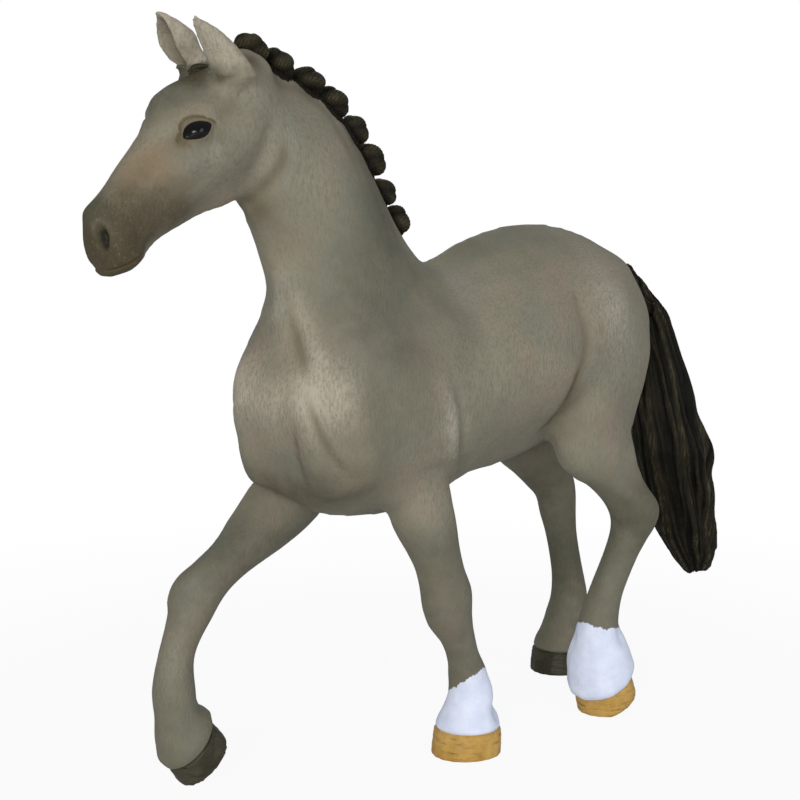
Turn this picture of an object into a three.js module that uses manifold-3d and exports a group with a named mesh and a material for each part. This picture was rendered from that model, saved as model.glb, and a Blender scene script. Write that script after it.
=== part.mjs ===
// A toy farm animal: a moulded horse at the trot, with a plaited mane and white-socked legs.
// Millimetres. It faces -X, its left side is -Y, +Z is up, and it stands on z = 0.
// The origin is under the middle of the figure, on the ground.
import * as THREE from "three";
import { mergeVertices } from "three/addons/utils/BufferGeometryUtils.js";
import Module from "manifold-3d";

const wasm = await Module();
wasm.setup();

// Driving sizes of the whole figure
const bodyLength = 90; // point of the breast to point of the buttock
const withersHeight = 81.2; // ground to the top of the shoulders
const barrelWidth = 30; // across the ribs
const headLength = 37.5; // poll to lips
const headDepth = 21; // forehead to jaw
const headWidth = 13.4; // across the cheeks
const forearmWidth = 10; // front to back, where the foreleg leaves the chest
const cannonWidth = 5.8; // front to back, below the knee or hock
const neckWidth = 21; // across the neck at its root
const haunchDepth = 25; // front to back across the thigh
const faceSlope = 51; // degrees below level, down the face
const eyeSlope = 20; // degrees below level, from the eye's rear corner to its front one

// Sizes of the smaller pieces
const earLength = 7.9;
const earWidth = 6.4;
const earWall = 1.1;
const eyeLength = 4.4;
const eyeHeight = 2.7;
const eyeStand = 1.6; // from the middle of the eye to its front
const hoofLength = 11; // toe to heel, at the sole
const hoofWidth = 10.8; // across the sole
const hoofHeight = 4.5; // sole to coronet
const plaitCount = 8;
const plaitHeight = 3.5; // how far a plait stands above the crest
const plaitWidth = 4.8; // across the crest
const forelockLength = 4;
const forelockWidth = 3.2;
const tailDepth = 14; // front to back, at its fullest
const tailWidth = 11; // across, at its fullest
const tailLocks = 9;
const nostrilLength = 1.9;
const nostrilWidth = 1.3;
const nostrilDepth = 1.1;
const mouthLength = 4.4;
const mouthOpening = 0.35;

// Fits
const seatGap = 0.3; // glue gap between a piece and its seat
const eyeGap = 0.15; // the same round an eye

const barrelHalf = barrelWidth / 2;
const left = -1; // the sign of Y on the horse's left
const right = 1;

// Fineness: rings between two rows of a table, and points round each kind of section
const rowSteps = 2;
const ribSteps = 2;
const headRibSteps = 3;
const muscleSides = 12;
const legSides = 12;
const hoofSides = 18;
const earSides = 12;
const forelockSides = 10;
const tailSides = 12;
const lockSides = 7;
const eyeSteps = 14;
const nostrilSteps = 10;
const weldGap = 1e-5; // points nearer than this are one

const finishes = {
  coat: new THREE.MeshStandardMaterial({ color: 0x8b8678, roughness: 0.62, metalness: 0 }),
  dark: new THREE.MeshStandardMaterial({ color: 0x3b362f, roughness: 0.6, metalness: 0 }),
  tail: new THREE.MeshStandardMaterial({ color: 0x2b241f, roughness: 0.6, metalness: 0 }),
  white: new THREE.MeshStandardMaterial({ color: 0xdfe3ee, roughness: 0.7, metalness: 0 }),
  ochre: new THREE.MeshStandardMaterial({ color: 0xc79a4e, roughness: 0.6, metalness: 0 }),
  darkHoof: new THREE.MeshStandardMaterial({ color: 0x55524a, roughness: 0.65, metalness: 0 }),
  eye: new THREE.MeshStandardMaterial({ color: 0x0c0b0c, roughness: 0.12, metalness: 0 }),
};

// Places and tables

// A place on the figure from shares of its length, height and width. side is left, right or 0.
function place(aheadShare, upShare, asideShare = 0, side = left) {
  return new THREE.Vector3(
    -aheadShare * bodyLength,
    side * asideShare * barrelWidth,
    upShare * withersHeight,
  );
}

// One number eased between b and c, with a and d as its outer neighbours.
function eased(a, b, c, d, t) {
  const slopeIn = (c - a) / 2;
  const slopeOut = (d - b) / 2;
  const square = t * t;
  const cube = square * t;
  return (
    b * (2 * cube - 3 * square + 1) +
    slopeIn * (cube - 2 * square + t) +
    c * (3 * square - 2 * cube) +
    slopeOut * (cube - square)
  );
}

// A table's rows with smooth rows between them: each column is eased by itself.
function smoothRows(rows, stepsPerRow) {
  const last = rows.length - 1;
  const out = [];
  for (let i = 0; i < last; i++) {
    const before = rows[Math.max(i - 1, 0)];
    const after = rows[Math.min(i + 2, last)];
    for (let k = 0; k < stepsPerRow; k++)
      out.push(rows[i].map((v, n) => eased(before[n], v, rows[i + 1][n], after[n], k / stepsPerRow)));
  }
  out.push(rows[last]);
  return out;
}

// Lofts

const across = new THREE.Vector3(0, 1, 0);
const forward = new THREE.Vector3(-1, 0, 0);
const sectionTension = 0.5;

// A closed section of four quarter ovals. ahead and aside are unit directions across the section.
function ovalSection(centre, ahead, aside, reach, sides) {
  return Array.from({ length: sides }, (_, k) => {
    const angle = (k / sides) * Math.PI * 2;
    const c = Math.cos(angle);
    const s = Math.sin(angle);
    return centre
      .clone()
      .addScaledVector(ahead, c * (c > 0 ? reach.front : reach.back))
      .addScaledVector(aside, s * (s > 0 ? reach.outer : reach.inner));
  });
}

// A closed section from a low point to a high point, through evenly spaced half widths between them.
function ribSection(low, high, halfWidths, steps, grow) {
  const out = high.clone().sub(low).normalize().multiplyScalar(grow);
  const bottom = low.clone().sub(out);
  const top = high.clone().add(out);
  const levels = halfWidths.length + 1;
  const side = (sign) =>
    halfWidths.map((half, k) =>
      bottom.clone().lerp(top, (k + 1) / levels).addScaledVector(across, sign * (half + grow)),
    );
  const points = [bottom, ...side(right), top, ...side(left).reverse()];
  const curve = new THREE.CatmullRomCurve3(points, true, "catmullrom", sectionTension);
  return curve.getPoints(points.length * steps).slice(0, -1);
}

function middle(ring) {
  return ring.reduce((sum, p) => sum.add(p), new THREE.Vector3()).divideScalar(ring.length);
}

const domeTurnShares = [0.4, 0.75]; // of the quarter turn from an end's rim to its tip

// Rings that round off an end: the last ring drawn in to its middle and moved out.
function dome(ring, outward, height) {
  const centre = middle(ring);
  return domeTurnShares.map((share) => {
    const angle = (share * Math.PI) / 2;
    return ring.map((p) =>
      p
        .clone()
        .sub(centre)
        .multiplyScalar(Math.cos(angle))
        .add(centre)
        .addScaledVector(outward, height * Math.sin(angle)),
    );
  });
}

// The solid through a row of rings with equal point counts. Each end is flat, or a dome of its height.
function loft(rings, startDome = 0, endDome = 0) {
  const startOut = middle(rings[0]).sub(middle(rings[1])).normalize();
  const endOut = middle(rings.at(-1)).sub(middle(rings.at(-2))).normalize();
  const startTip = middle(rings[0]).addScaledVector(startOut, startDome);
  const endTip = middle(rings.at(-1)).addScaledVector(endOut, endDome);
  const all = [
    ...(startDome ? dome(rings[0], startOut, startDome).reverse() : []),
    ...rings,
    ...(endDome ? dome(rings.at(-1), endOut, endDome) : []),
  ];
  const sides = rings[0].length;
  const index = [];
  const first = all.length * sides;
  for (let k = 0; k < sides; k++) {
    const next = (k + 1) % sides;
    for (let r = 0; r + 1 < all.length; r++) {
      const a = r * sides;
      const b = a + sides;
      index.push(a + k, a + next, b + next, a + k, b + next, b + k);
    }
    const end = (all.length - 1) * sides;
    index.push(first, next, k, first + 1, end + k, end + next);
  }
  const geometry = new THREE.BufferGeometry();
  geometry.setFromPoints([...all.flat(), startTip, endTip]);
  geometry.setIndex(index);
  return solidOf(geometry);
}

// Solids

// A closed geometry as a solid that can be joined and cut, turned the right way out.
function solidOf(geometry) {
  const bare = geometry.clone();
  bare.deleteAttribute("normal");
  bare.deleteAttribute("uv");
  const merged = mergeVertices(bare, weldGap);
  const build = (triVerts) =>
    new wasm.Manifold(
      new wasm.Mesh({ numProp: 3, vertProperties: merged.attributes.position.array, triVerts }),
    );
  const triVerts = new Uint32Array(merged.index.array);
  const solid = build(triVerts);
  return solid.volume() < 0 ? build(triVerts.reverse()) : solid;
}

function geometryOf(solid) {
  const mesh = solid.getMesh();
  const geometry = new THREE.BufferGeometry();
  geometry.setAttribute("position", new THREE.BufferAttribute(mesh.vertProperties, 3));
  geometry.setIndex(new THREE.BufferAttribute(mesh.triVerts, 1));
  geometry.computeVertexNormals();
  return geometry;
}

const blockShare = 4; // a cutting block's side, in body lengths

// The block on the far side of a plane, big enough to cut any piece there.
function beyond(point, normal) {
  const size = blockShare * bodyLength;
  const block = new THREE.BoxGeometry(size, size, size);
  block.translate(0, 0, size / 2);
  block.applyQuaternion(
    new THREE.Quaternion().setFromUnitVectors(new THREE.Vector3(0, 0, 1), normal.clone().normalize()),
  );
  block.translate(point.x, point.y, point.z);
  return solidOf(block);
}

function ellipsoid(centre, axes, reaches, steps) {
  const ball = new THREE.SphereGeometry(1, steps, steps / 2);
  const stretched = axes.map((axis, k) => axis.clone().multiplyScalar(reaches[k]));
  ball.applyMatrix4(new THREE.Matrix4().makeBasis(...stretched));
  ball.translate(centre.x, centre.y, centre.z);
  return solidOf(ball);
}

// A limb through a table of rows: ahead, up and aside shares of the figure, then its reach to the
// front, to the back and to each side as shares of one width.
function limbRings(rows, side, width, sides, stepsPerRow, grow = 0) {
  const stations = smoothRows(rows, stepsPerRow);
  const centres = stations.map(([ahead, up, aside]) => place(ahead, up, aside, side));
  return stations.map((row, k) => {
    const run = centres[Math.min(k + 1, centres.length - 1)].clone().sub(centres[Math.max(k - 1, 0)]);
    const ahead = across.clone().cross(run).normalize().multiplyScalar(-1);
    const reach = {
      front: row[3] * width + grow,
      back: row[4] * width + grow,
      outer: row[5] * width + grow,
      inner: row[5] * width + grow,
    };
    if (ahead.x > 0) ahead.negate();
    return ovalSection(centres[k], ahead, across.clone().multiplyScalar(side), reach, sides);
  });
}

// Trunk: ahead, back line and belly line, then half widths from the keel up to the back.
// The half widths are shares of half the barrel.
const trunkShares = [
  [0.488, 0.812, 0.625, 0.3, 0.44, 0.47, 0.44, 0.3],
  [0.464, 0.89, 0.556, 0.6, 0.72, 0.7, 0.63, 0.43],
  [0.422, 0.945, 0.522, 0.78, 0.85, 0.82, 0.76, 0.53],
  [0.356, 0.97, 0.502, 0.8, 0.93, 0.92, 0.83, 0.57],
  [0.289, 0.982, 0.492, 0.78, 0.95, 0.95, 0.84, 0.55],
  [0.222, 0.985, 0.489, 0.7, 0.92, 0.93, 0.81, 0.48],
  [0.144, 0.952, 0.502, 0.6, 0.87, 0.92, 0.83, 0.48],
  [0.056, 0.982, 0.528, 0.58, 0.87, 0.97, 0.89, 0.55],
  [-0.044, 1.006, 0.535, 0.58, 0.88, 1.0, 0.93, 0.6],
  [-0.144, 1.012, 0.549, 0.56, 0.85, 0.98, 0.93, 0.62],
  [-0.244, 1.0, 0.585, 0.6, 0.86, 0.97, 0.91, 0.58],
  [-0.333, 0.972, 0.655, 0.6, 0.83, 0.91, 0.84, 0.52],
  [-0.405, 0.936, 0.705, 0.47, 0.69, 0.76, 0.67, 0.4],
  [-0.452, 0.893, 0.768, 0.25, 0.42, 0.48, 0.42, 0.24],
];
const breastDomeShare = 0.035; // of the body's length
const rumpDomeShare = 0.03;

function trunk(grow = 0) {
  const rings = smoothRows(trunkShares, rowSteps).map(([ahead, top, keel, ...halves]) =>
    ribSection(
      place(ahead, keel),
      place(ahead, top),
      halves.map((half) => half * barrelHalf),
      ribSteps,
      grow,
    ),
  );
  return loft(rings, breastDomeShare * bodyLength + grow, rumpDomeShare * bodyLength + grow);
}

// Neck: crest ahead and up, throat ahead and up, and half width as a share of the neck's width.
const neckShares = [
  [0.06, 0.83, 0.42, 0.6, 0.38],
  [0.1, 0.93, 0.47, 0.72, 0.45],
  [0.161, 0.957, 0.495, 0.825, 0.46],
  [0.224, 1.028, 0.498, 0.915, 0.405],
  [0.274, 1.11, 0.518, 0.99, 0.355],
  [0.338, 1.202, 0.546, 1.045, 0.315],
  [0.417, 1.263, 0.574, 1.077, 0.285],
  [0.5, 1.298, 0.606, 1.115, 0.25],
];
const neckWedgeShares = [0.76, 0.99, 0.99, 0.8, 0.5]; // of the half width, from the throat up to the crest

function neck(grow = 0) {
  const rings = smoothRows(neckShares, rowSteps).map(
    ([crestAhead, crestUp, throatAhead, throatUp, half]) =>
      ribSection(
        place(throatAhead, throatUp),
        place(crestAhead, crestUp),
        neckWedgeShares.map((wedge) => wedge * half * neckWidth),
        ribSteps,
        grow,
      ),
  );
  return loft(rings, grow, seatGap + grow);
}

// Each muscle is a short limb with rounded ends, sunk into the trunk.
const muscleDomeShare = 0.07; // of the haunch's depth
const muscleDome = muscleDomeShare * haunchDepth;

// Haunch: the thigh from hip to stifle, as shares of its depth.
const haunchShares = {
  [left]: [
    [-0.27, 0.9, 0.17, 0.26, 0.3, 0.1],
    [-0.272, 0.84, 0.24, 0.42, 0.45, 0.17],
    [-0.265, 0.76, 0.27, 0.51, 0.54, 0.22],
    [-0.24, 0.68, 0.285, 0.5, 0.55, 0.225],
    [-0.212, 0.61, 0.305, 0.35, 0.44, 0.19],
    [-0.21, 0.54, 0.335, 0.2, 0.25, 0.13],
  ],
  [right]: [
    [-0.27, 0.9, 0.17, 0.26, 0.3, 0.1],
    [-0.275, 0.84, 0.24, 0.42, 0.44, 0.17],
    [-0.28, 0.76, 0.27, 0.51, 0.52, 0.22],
    [-0.275, 0.68, 0.28, 0.5, 0.5, 0.225],
    [-0.28, 0.61, 0.295, 0.35, 0.4, 0.19],
    [-0.3, 0.54, 0.31, 0.2, 0.24, 0.13],
  ],
};

function muscle(rows, side, grow = 0) {
  const rings = limbRings(rows, side, haunchDepth, muscleSides, rowSteps, grow);
  return loft(rings, muscleDome + grow, muscleDome + grow);
}

function haunch(side, grow = 0) {
  return muscle(haunchShares[side], side, grow);
}

// Shoulder: the blade and upper arm, as shares of the haunch's depth.
const shoulderShares = [
  [0.3, 0.84, 0.2, 0.2, 0.2, 0.09],
  [0.335, 0.77, 0.26, 0.29, 0.3, 0.14],
  [0.35, 0.7, 0.29, 0.34, 0.38, 0.165],
  [0.325, 0.63, 0.305, 0.33, 0.37, 0.155],
  [0.3, 0.57, 0.31, 0.26, 0.3, 0.125],
];

function shoulder(side) {
  return muscle(shoulderShares, side);
}

// Breast: the two muscles in front, each side of the middle groove.
const breastShares = [
  [0.43, 0.84, 0.13, 0.08, 0.16, 0.12],
  [0.467, 0.79, 0.15, 0.13, 0.22, 0.16],
  [0.482, 0.72, 0.165, 0.15, 0.26, 0.175],
  [0.465, 0.65, 0.18, 0.15, 0.26, 0.18],
  [0.43, 0.585, 0.205, 0.14, 0.24, 0.19],
];

function breast(side) {
  return muscle(breastShares, side);
}

// Legs, from inside the body down to the coronet. Forelegs are in shares of the forearm's width,
// hind legs in shares of the cannon's.
const legShares = {
  left_foreleg: [
    [0.3, 0.66, 0.27, 0.44, 0.5, 0.26],
    [0.292, 0.58, 0.3, 0.52, 0.7, 0.36],
    [0.275, 0.515, 0.31, 0.5, 0.6, 0.42],
    [0.252, 0.465, 0.314, 0.43, 0.5, 0.4],
    [0.227, 0.415, 0.3, 0.37, 0.42, 0.35],
    [0.206, 0.37, 0.285, 0.38, 0.39, 0.36],
    [0.19, 0.333, 0.272, 0.42, 0.44, 0.38],
    [0.177, 0.295, 0.261, 0.38, 0.4, 0.35],
    [0.15, 0.25, 0.244, 0.28, 0.28, 0.27],
    [0.126, 0.2, 0.228, 0.26, 0.24, 0.26],
    [0.107, 0.158, 0.211, 0.32, 0.3, 0.32],
    [0.097, 0.122, 0.202, 0.36, 0.31, 0.34],
    [0.095, 0.09, 0.194, 0.45, 0.38, 0.4],
    [0.096, 0.058, 0.187, 0.5, 0.53, 0.47],
  ],
  right_foreleg: [
    [0.3, 0.62, 0.27, 0.5, 0.46, 0.28],
    [0.335, 0.565, 0.31, 0.52, 0.66, 0.42],
    [0.375, 0.52, 0.35, 0.44, 0.68, 0.44],
    [0.42, 0.48, 0.385, 0.31, 0.59, 0.41],
    [0.465, 0.447, 0.4, 0.25, 0.48, 0.37],
    [0.507, 0.414, 0.41, 0.36, 0.4, 0.37],
    [0.539, 0.386, 0.413, 0.43, 0.4, 0.37],
    [0.56, 0.348, 0.413, 0.32, 0.36, 0.33],
    [0.583, 0.302, 0.41, 0.27, 0.29, 0.26],
    [0.598, 0.262, 0.407, 0.26, 0.29, 0.26],
    [0.605, 0.21, 0.402, 0.31, 0.35, 0.31],
    [0.598, 0.168, 0.4, 0.34, 0.32, 0.33],
    [0.588, 0.134, 0.4, 0.42, 0.5, 0.42],
    [0.576, 0.104, 0.4, 0.46, 0.52, 0.46],
    [0.562, 0.075, 0.4, 0.46, 0.5, 0.44],
  ],
  left_hindleg: [
    [-0.18, 0.68, 0.26, 0.9, 1.1, 0.5],
    [-0.186, 0.62, 0.305, 1.35, 1.75, 0.74],
    [-0.197, 0.565, 0.33, 1.25, 1.65, 0.76],
    [-0.228, 0.515, 0.35, 0.68, 1.25, 0.68],
    [-0.272, 0.47, 0.36, 0.6, 0.98, 0.59],
    [-0.306, 0.43, 0.37, 0.72, 1.0, 0.6],
    [-0.314, 0.383, 0.36, 0.62, 0.8, 0.56],
    [-0.295, 0.34, 0.352, 0.5, 0.54, 0.48],
    [-0.268, 0.295, 0.347, 0.48, 0.52, 0.46],
    [-0.242, 0.25, 0.343, 0.5, 0.54, 0.48],
    [-0.225, 0.2, 0.338, 0.58, 0.64, 0.56],
    [-0.224, 0.165, 0.335, 0.7, 0.82, 0.72],
    [-0.229, 0.125, 0.333, 0.92, 0.98, 0.92],
    [-0.236, 0.088, 0.333, 0.98, 1.0, 0.94],
    [-0.243, 0.04, 0.333, 0.92, 0.98, 0.9],
  ],
  right_hindleg: [
    [-0.23, 0.68, 0.27, 1.0, 1.1, 0.5],
    [-0.25, 0.62, 0.29, 1.5, 1.55, 0.74],
    [-0.277, 0.56, 0.31, 1.4, 1.4, 0.76],
    [-0.305, 0.51, 0.315, 0.95, 1.02, 0.68],
    [-0.34, 0.46, 0.317, 0.65, 0.75, 0.62],
    [-0.376, 0.42, 0.318, 0.6, 0.82, 0.58],
    [-0.39, 0.375, 0.32, 0.6, 0.66, 0.55],
    [-0.403, 0.325, 0.324, 0.49, 0.54, 0.48],
    [-0.418, 0.27, 0.328, 0.47, 0.52, 0.46],
    [-0.432, 0.215, 0.332, 0.5, 0.56, 0.48],
    [-0.44, 0.165, 0.335, 0.57, 0.64, 0.56],
    [-0.434, 0.13, 0.337, 0.6, 0.7, 0.62],
    [-0.427, 0.095, 0.338, 0.7, 0.76, 0.7],
    [-0.421, 0.063, 0.34, 0.8, 0.82, 0.8],
  ],
};
const legs = {
  left_foreleg: { side: left, width: forearmWidth },
  right_foreleg: { side: right, width: forearmWidth },
  left_hindleg: { side: left, width: cannonWidth },
  right_hindleg: { side: right, width: cannonWidth },
};

function leg(name, grow = 0) {
  const { side, width } = legs[name];
  return loft(limbRings(legShares[name], side, width, legSides, rowSteps, grow), seatGap + grow, 0);
}

// Feet: each hoof's size as a share of the driving sizes, the coronet's place as shares of the
// figure, then the foot's tilt, toe down, and its roll, outer side down, both in degrees.
const feet = {
  left_fore_hoof: {
    leg: "left_foreleg",
    sizeShare: 0.97,
    placeShares: [0.096, 0.058, 0.187],
    tilt: 0,
    roll: 0,
    finish: "ochre",
  },
  right_fore_hoof: {
    leg: "right_foreleg",
    sizeShare: 0.82,
    placeShares: [0.58, 0.11, 0.4],
    tilt: 45,
    roll: 12,
    finish: "darkHoof",
  },
  left_hind_hoof: {
    leg: "left_hindleg",
    sizeShare: 0.9,
    placeShares: [-0.239, 0.073, 0.333],
    tilt: 28,
    roll: 0,
    finish: "ochre",
  },
  right_hind_hoof: {
    leg: "right_hindleg",
    sizeShare: 0.96,
    placeShares: [-0.42, 0.058, 0.34],
    tilt: 0,
    roll: 0,
    finish: "darkHoof",
  },
};

// A foot's own directions: toe points forward along its sole, up runs from the sole to the coronet
// and wide to its right.
function footFrame(name) {
  const { leg: legName, placeShares, tilt, roll } = feet[name];
  const { side } = legs[legName];
  const turn = THREE.MathUtils.degToRad(tilt);
  const toe = new THREE.Vector3(-Math.cos(turn), 0, -Math.sin(turn));
  const lean = THREE.MathUtils.degToRad(side * roll);
  const wide = across.clone().applyAxisAngle(forward, lean);
  const up = toe.clone().cross(wide).normalize();
  if (up.z < 0) up.negate();
  return { coronet: place(...placeShares, side), toe, wide: up.clone().cross(toe), up };
}

// Hoof sections from the coronet to the sole: height, toe, heel and half width as shares of the hoof.
// The last lies a little too low, so that the ground cuts the standing feet flat.
const hoofShares = [
  [1, 0.47, 0.46, 0.48],
  [0.85, 0.49, 0.47, 0.5],
  [0.45, 0.53, 0.46, 0.51],
  [0.08, 0.57, 0.44, 0.51],
  [-0.06, 0.56, 0.43, 0.5],
];

function hoof(name) {
  const { coronet, toe, wide, up } = footFrame(name);
  const { sizeShare } = feet[name];
  const top = coronet.clone().addScaledVector(up, -seatGap);
  const rings = hoofShares.map(([height, toeShare, heelShare, half]) =>
    ovalSection(
      top.clone().addScaledVector(up, (height - 1) * sizeShare * hoofHeight),
      toe,
      wide,
      {
        front: toeShare * sizeShare * hoofLength,
        back: heelShare * sizeShare * hoofLength,
        outer: half * sizeShare * hoofWidth,
        inner: half * sizeShare * hoofWidth,
      },
      hoofSides,
    ),
  );
  const ground = beyond(new THREE.Vector3(), new THREE.Vector3(0, 0, -1));
  return loft(rings).subtract(ground);
}

// Where the coat ends and the white begins, as shares of the figure, with the edge's slope.
const sockTops = {
  left_foreleg: { placeShares: [0.107, 0.154, 0.214], slope: new THREE.Vector3(-0.34, 0.12, 1) },
  left_hindleg: { placeShares: [-0.2245, 0.19, 0.338], slope: new THREE.Vector3(-0.16, -0.33, 1) },
};

// A leg cut off at its coronet, and where it has a white sock, the sock as the piece below.
function legPieces() {
  const pieces = {};
  for (const [hoofName, foot] of Object.entries(feet)) {
    const { coronet, up } = footFrame(hoofName);
    const whole = leg(foot.leg).subtract(beyond(coronet, up.clone().negate()));
    const sock = sockTops[foot.leg];
    if (!sock) {
      pieces[foot.leg] = whole;
      continue;
    }
    const edge = place(...sock.placeShares, legs[foot.leg].side);
    const down = sock.slope.clone().normalize().multiplyScalar(-seatGap);
    pieces[foot.leg] = whole.subtract(beyond(edge, down));
    const sockName = foot.leg.replace("leg", "_sock");
    pieces[sockName] = whole.subtract(beyond(edge.clone().add(down), down.clone().negate()));
  }
  return pieces;
}

// Head frame: along runs from the poll down the face, rise stands square to the face.
const faceTurn = THREE.MathUtils.degToRad(faceSlope);
const along = new THREE.Vector3(-Math.cos(faceTurn), 0, -Math.sin(faceTurn));
const rise = new THREE.Vector3(-Math.sin(faceTurn), 0, Math.cos(faceTurn));
const poll = place(0.571, 1.317);

function headPlace(alongShare, riseShare, asideShare = 0, side = left) {
  return poll
    .clone()
    .addScaledVector(along, alongShare * headLength)
    .addScaledVector(rise, riseShare * headDepth)
    .addScaledVector(across, (side * asideShare * headWidth) / 2);
}

// Head: along, face line and jaw line, then half widths from the jaw up to the brow.
const headShares = [
  [0.0, 0.06, -0.333, 0.4, 0.6, 0.63, 0.5],
  [0.093, 0.15, -0.467, 0.5, 0.78, 0.8, 0.62],
  [0.187, 0.235, -0.545, 0.58, 0.9, 0.9, 0.68],
  [0.28, 0.315, -0.571, 0.62, 0.98, 0.98, 0.76],
  [0.387, 0.362, -0.524, 0.6, 0.97, 1.0, 0.92],
  [0.48, 0.33, -0.438, 0.54, 0.84, 0.88, 0.78],
  [0.587, 0.35, -0.33, 0.46, 0.68, 0.72, 0.62],
  [0.693, 0.36, -0.225, 0.41, 0.58, 0.62, 0.53],
  [0.8, 0.36, -0.145, 0.38, 0.54, 0.58, 0.5],
  [0.875, 0.31, -0.11, 0.41, 0.56, 0.61, 0.53],
  [0.93, 0.22, -0.06, 0.38, 0.52, 0.57, 0.47],
  [0.965, 0.115, 0.005, 0.25, 0.36, 0.4, 0.32],
];
const muzzleDomeShare = 0.022; // of the head's length
const pollDomeShare = 0.05;

function skull(grow = 0) {
  const rings = smoothRows(headShares, rowSteps).map(([run, face, jaw, ...halves]) =>
    ribSection(
      headPlace(run, jaw),
      headPlace(run, face),
      halves.map((half) => (half * headWidth) / 2),
      headRibSteps,
      grow,
    ),
  );
  return loft(rings, pollDomeShare * headLength + grow, muzzleDomeShare * headLength + grow);
}

const ears = {
  [left]: { tipShares: [0.701, 1.37, 0.15], footShares: [0.642, 1.2935, 0.145] },
  [right]: { tipShares: [0.673, 1.384, 0.165], footShares: [0.632, 1.303, 0.143] },
};
// Ear sections from root to tip: run and half width, then how deep the back bulges, as shares.
const earShares = [
  [-0.32, 0.36, 0.38],
  [0.1, 0.42, 0.44],
  [0.35, 0.5, 0.46],
  [0.6, 0.42, 0.36],
  [0.82, 0.24, 0.22],
  [1, 0.05, 0.06],
];
const earRimShare = 0.5; // how far the rim comes forward, of the back's bulge
const earLeastShare = 0.02; // the least reach of a section, of the ear's width
const earHollowShare = 0.12; // where the hollow starts, of the ear's length
const earTurnIn = 35; // degrees that the opening turns from straight ahead towards the middle

function ear(side, grow = 0) {
  const foot = place(...ears[side].footShares, side);
  const up = place(...ears[side].tipShares, side).sub(foot).normalize();
  const turn = THREE.MathUtils.degToRad(earTurnIn);
  const facing = new THREE.Vector3(-Math.cos(turn), -side * Math.sin(turn), 0);
  const open = facing.addScaledVector(up, -facing.dot(up)).normalize();
  const wide = up.clone().cross(open).normalize();
  const least = earLeastShare * earWidth;
  const rings = (inset) =>
    earShares.map(([run, half, back]) => {
      const sideways = Math.max(half * earWidth - inset, least) + grow;
      const reach = {
        front: earRimShare * back * earWidth + grow,
        back: Math.max(back * earWidth - inset, least) + grow,
        outer: sideways,
        inner: sideways,
      };
      const centre = foot.clone().addScaledVector(up, run * earLength).addScaledVector(open, inset);
      return ovalSection(centre, open, wide, reach, earSides);
    });
  if (grow) return loft(rings(0), grow, grow);
  const hollow = loft(rings(earWall)).translate(...open.clone().multiplyScalar(earWall).toArray());
  const aboveRoot = beyond(foot.clone().addScaledVector(up, earHollowShare * earLength), up);
  return loft(rings(0)).subtract(hollow.intersect(aboveRoot));
}

const eyeShares = [0.41, 0.135, 0.775]; // along, rise and aside on the head
const nostrilShares = [0.905, 0.235, 0.56];
const mouthShares = [0.95, 0.06, 0];

function eye(side, grow = 0) {
  const centre = headPlace(...eyeShares, side);
  const reaches = [eyeLength / 2 + grow, eyeHeight / 2 + grow, eyeStand + grow];
  const turn = THREE.MathUtils.degToRad(faceSlope - eyeSlope);
  const axes = [along, rise].map((axis) => axis.clone().applyAxisAngle(across, turn));
  return ellipsoid(centre, [...axes, across], reaches, eyeSteps);
}

function nostril(side) {
  const centre = headPlace(...nostrilShares, side);
  const reaches = [nostrilLength / 2, nostrilWidth / 2, nostrilDepth];
  return ellipsoid(centre, [rise, along, across], reaches, nostrilSteps);
}

function mouth() {
  const cut = new THREE.BoxGeometry(mouthLength, headWidth, mouthOpening);
  const axes = new THREE.Matrix4().makeBasis(along, across, rise);
  cut.applyMatrix4(axes);
  const centre = headPlace(...mouthShares);
  cut.translate(centre.x, centre.y, centre.z);
  return solidOf(cut);
}

function head() {
  const joined = skull().add(ear(left)).add(ear(right));
  return [eye(left, eyeGap), eye(right, eyeGap), nostril(left), nostril(right), mouth()].reduce(
    (rest, cut) => rest.subtract(cut),
    joined,
  );
}

// Mane: each plait is rolled into a bun on the crest. First and last bun as shares along the crest.
const firstPlaitShare = 0.955;
const lastPlaitShare = 0.245;
const lastPlaitSizeShare = 0.55; // of the first plait's height
const plaitStrands = 3;
const plaitSides = 4 * plaitStrands;
const plaitBulgeShare = 0.16;
const plaitTwist = 1.1; // radians that the strands' ridges turn from root to top
const bunTopShare = 0.03; // the rounding on top, of the height
// Bun sections from root to top: height and girth as shares.
const bunShares = [
  [-0.35, 0.7],
  [0.1, 0.94],
  [0.45, 1],
  [0.78, 0.78],
  [0.97, 0.36],
];

// The crest as a curve from the root of the neck to the poll.
function crestCurve() {
  const skin = neckShares.slice(1).map(([ahead, up]) => place(ahead, up));
  return new THREE.CatmullRomCurve3([...skin, poll]);
}

function plait(number) {
  const share = firstPlaitShare + ((lastPlaitShare - firstPlaitShare) * number) / (plaitCount - 1);
  const curve = crestCurve();
  const pitch = (curve.getLength() * (firstPlaitShare - lastPlaitShare)) / (plaitCount - 1);
  const plaitLength = (pitch - seatGap) / (1 + plaitBulgeShare);
  const size = THREE.MathUtils.lerp(1, lastPlaitSizeShare, number / (plaitCount - 1));
  const seat = curve.getPointAt(share);
  const run = curve.getTangentAt(share);
  const up = across.clone().cross(run).normalize();
  if (up.z < 0) up.negate();
  const rings = bunShares.map(([height, girth]) => {
    const centre = seat.clone().addScaledVector(up, height * plaitHeight * size);
    return Array.from({ length: plaitSides }, (_, k) => {
      const angle = (k / plaitSides) * Math.PI * 2;
      const ridge = 1 + plaitBulgeShare * Math.cos(plaitStrands * angle + plaitTwist * height + number);
      return centre
        .clone()
        .addScaledVector(run, (Math.cos(angle) * girth * ridge * plaitLength) / 2)
        .addScaledVector(across, (Math.sin(angle) * girth * ridge * plaitWidth) / 2);
    });
  });
  return loft(rings, 0, bunTopShare * plaitHeight);
}

const forelockShares = [0.16, 0.2]; // along and rise of its root on the head

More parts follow.
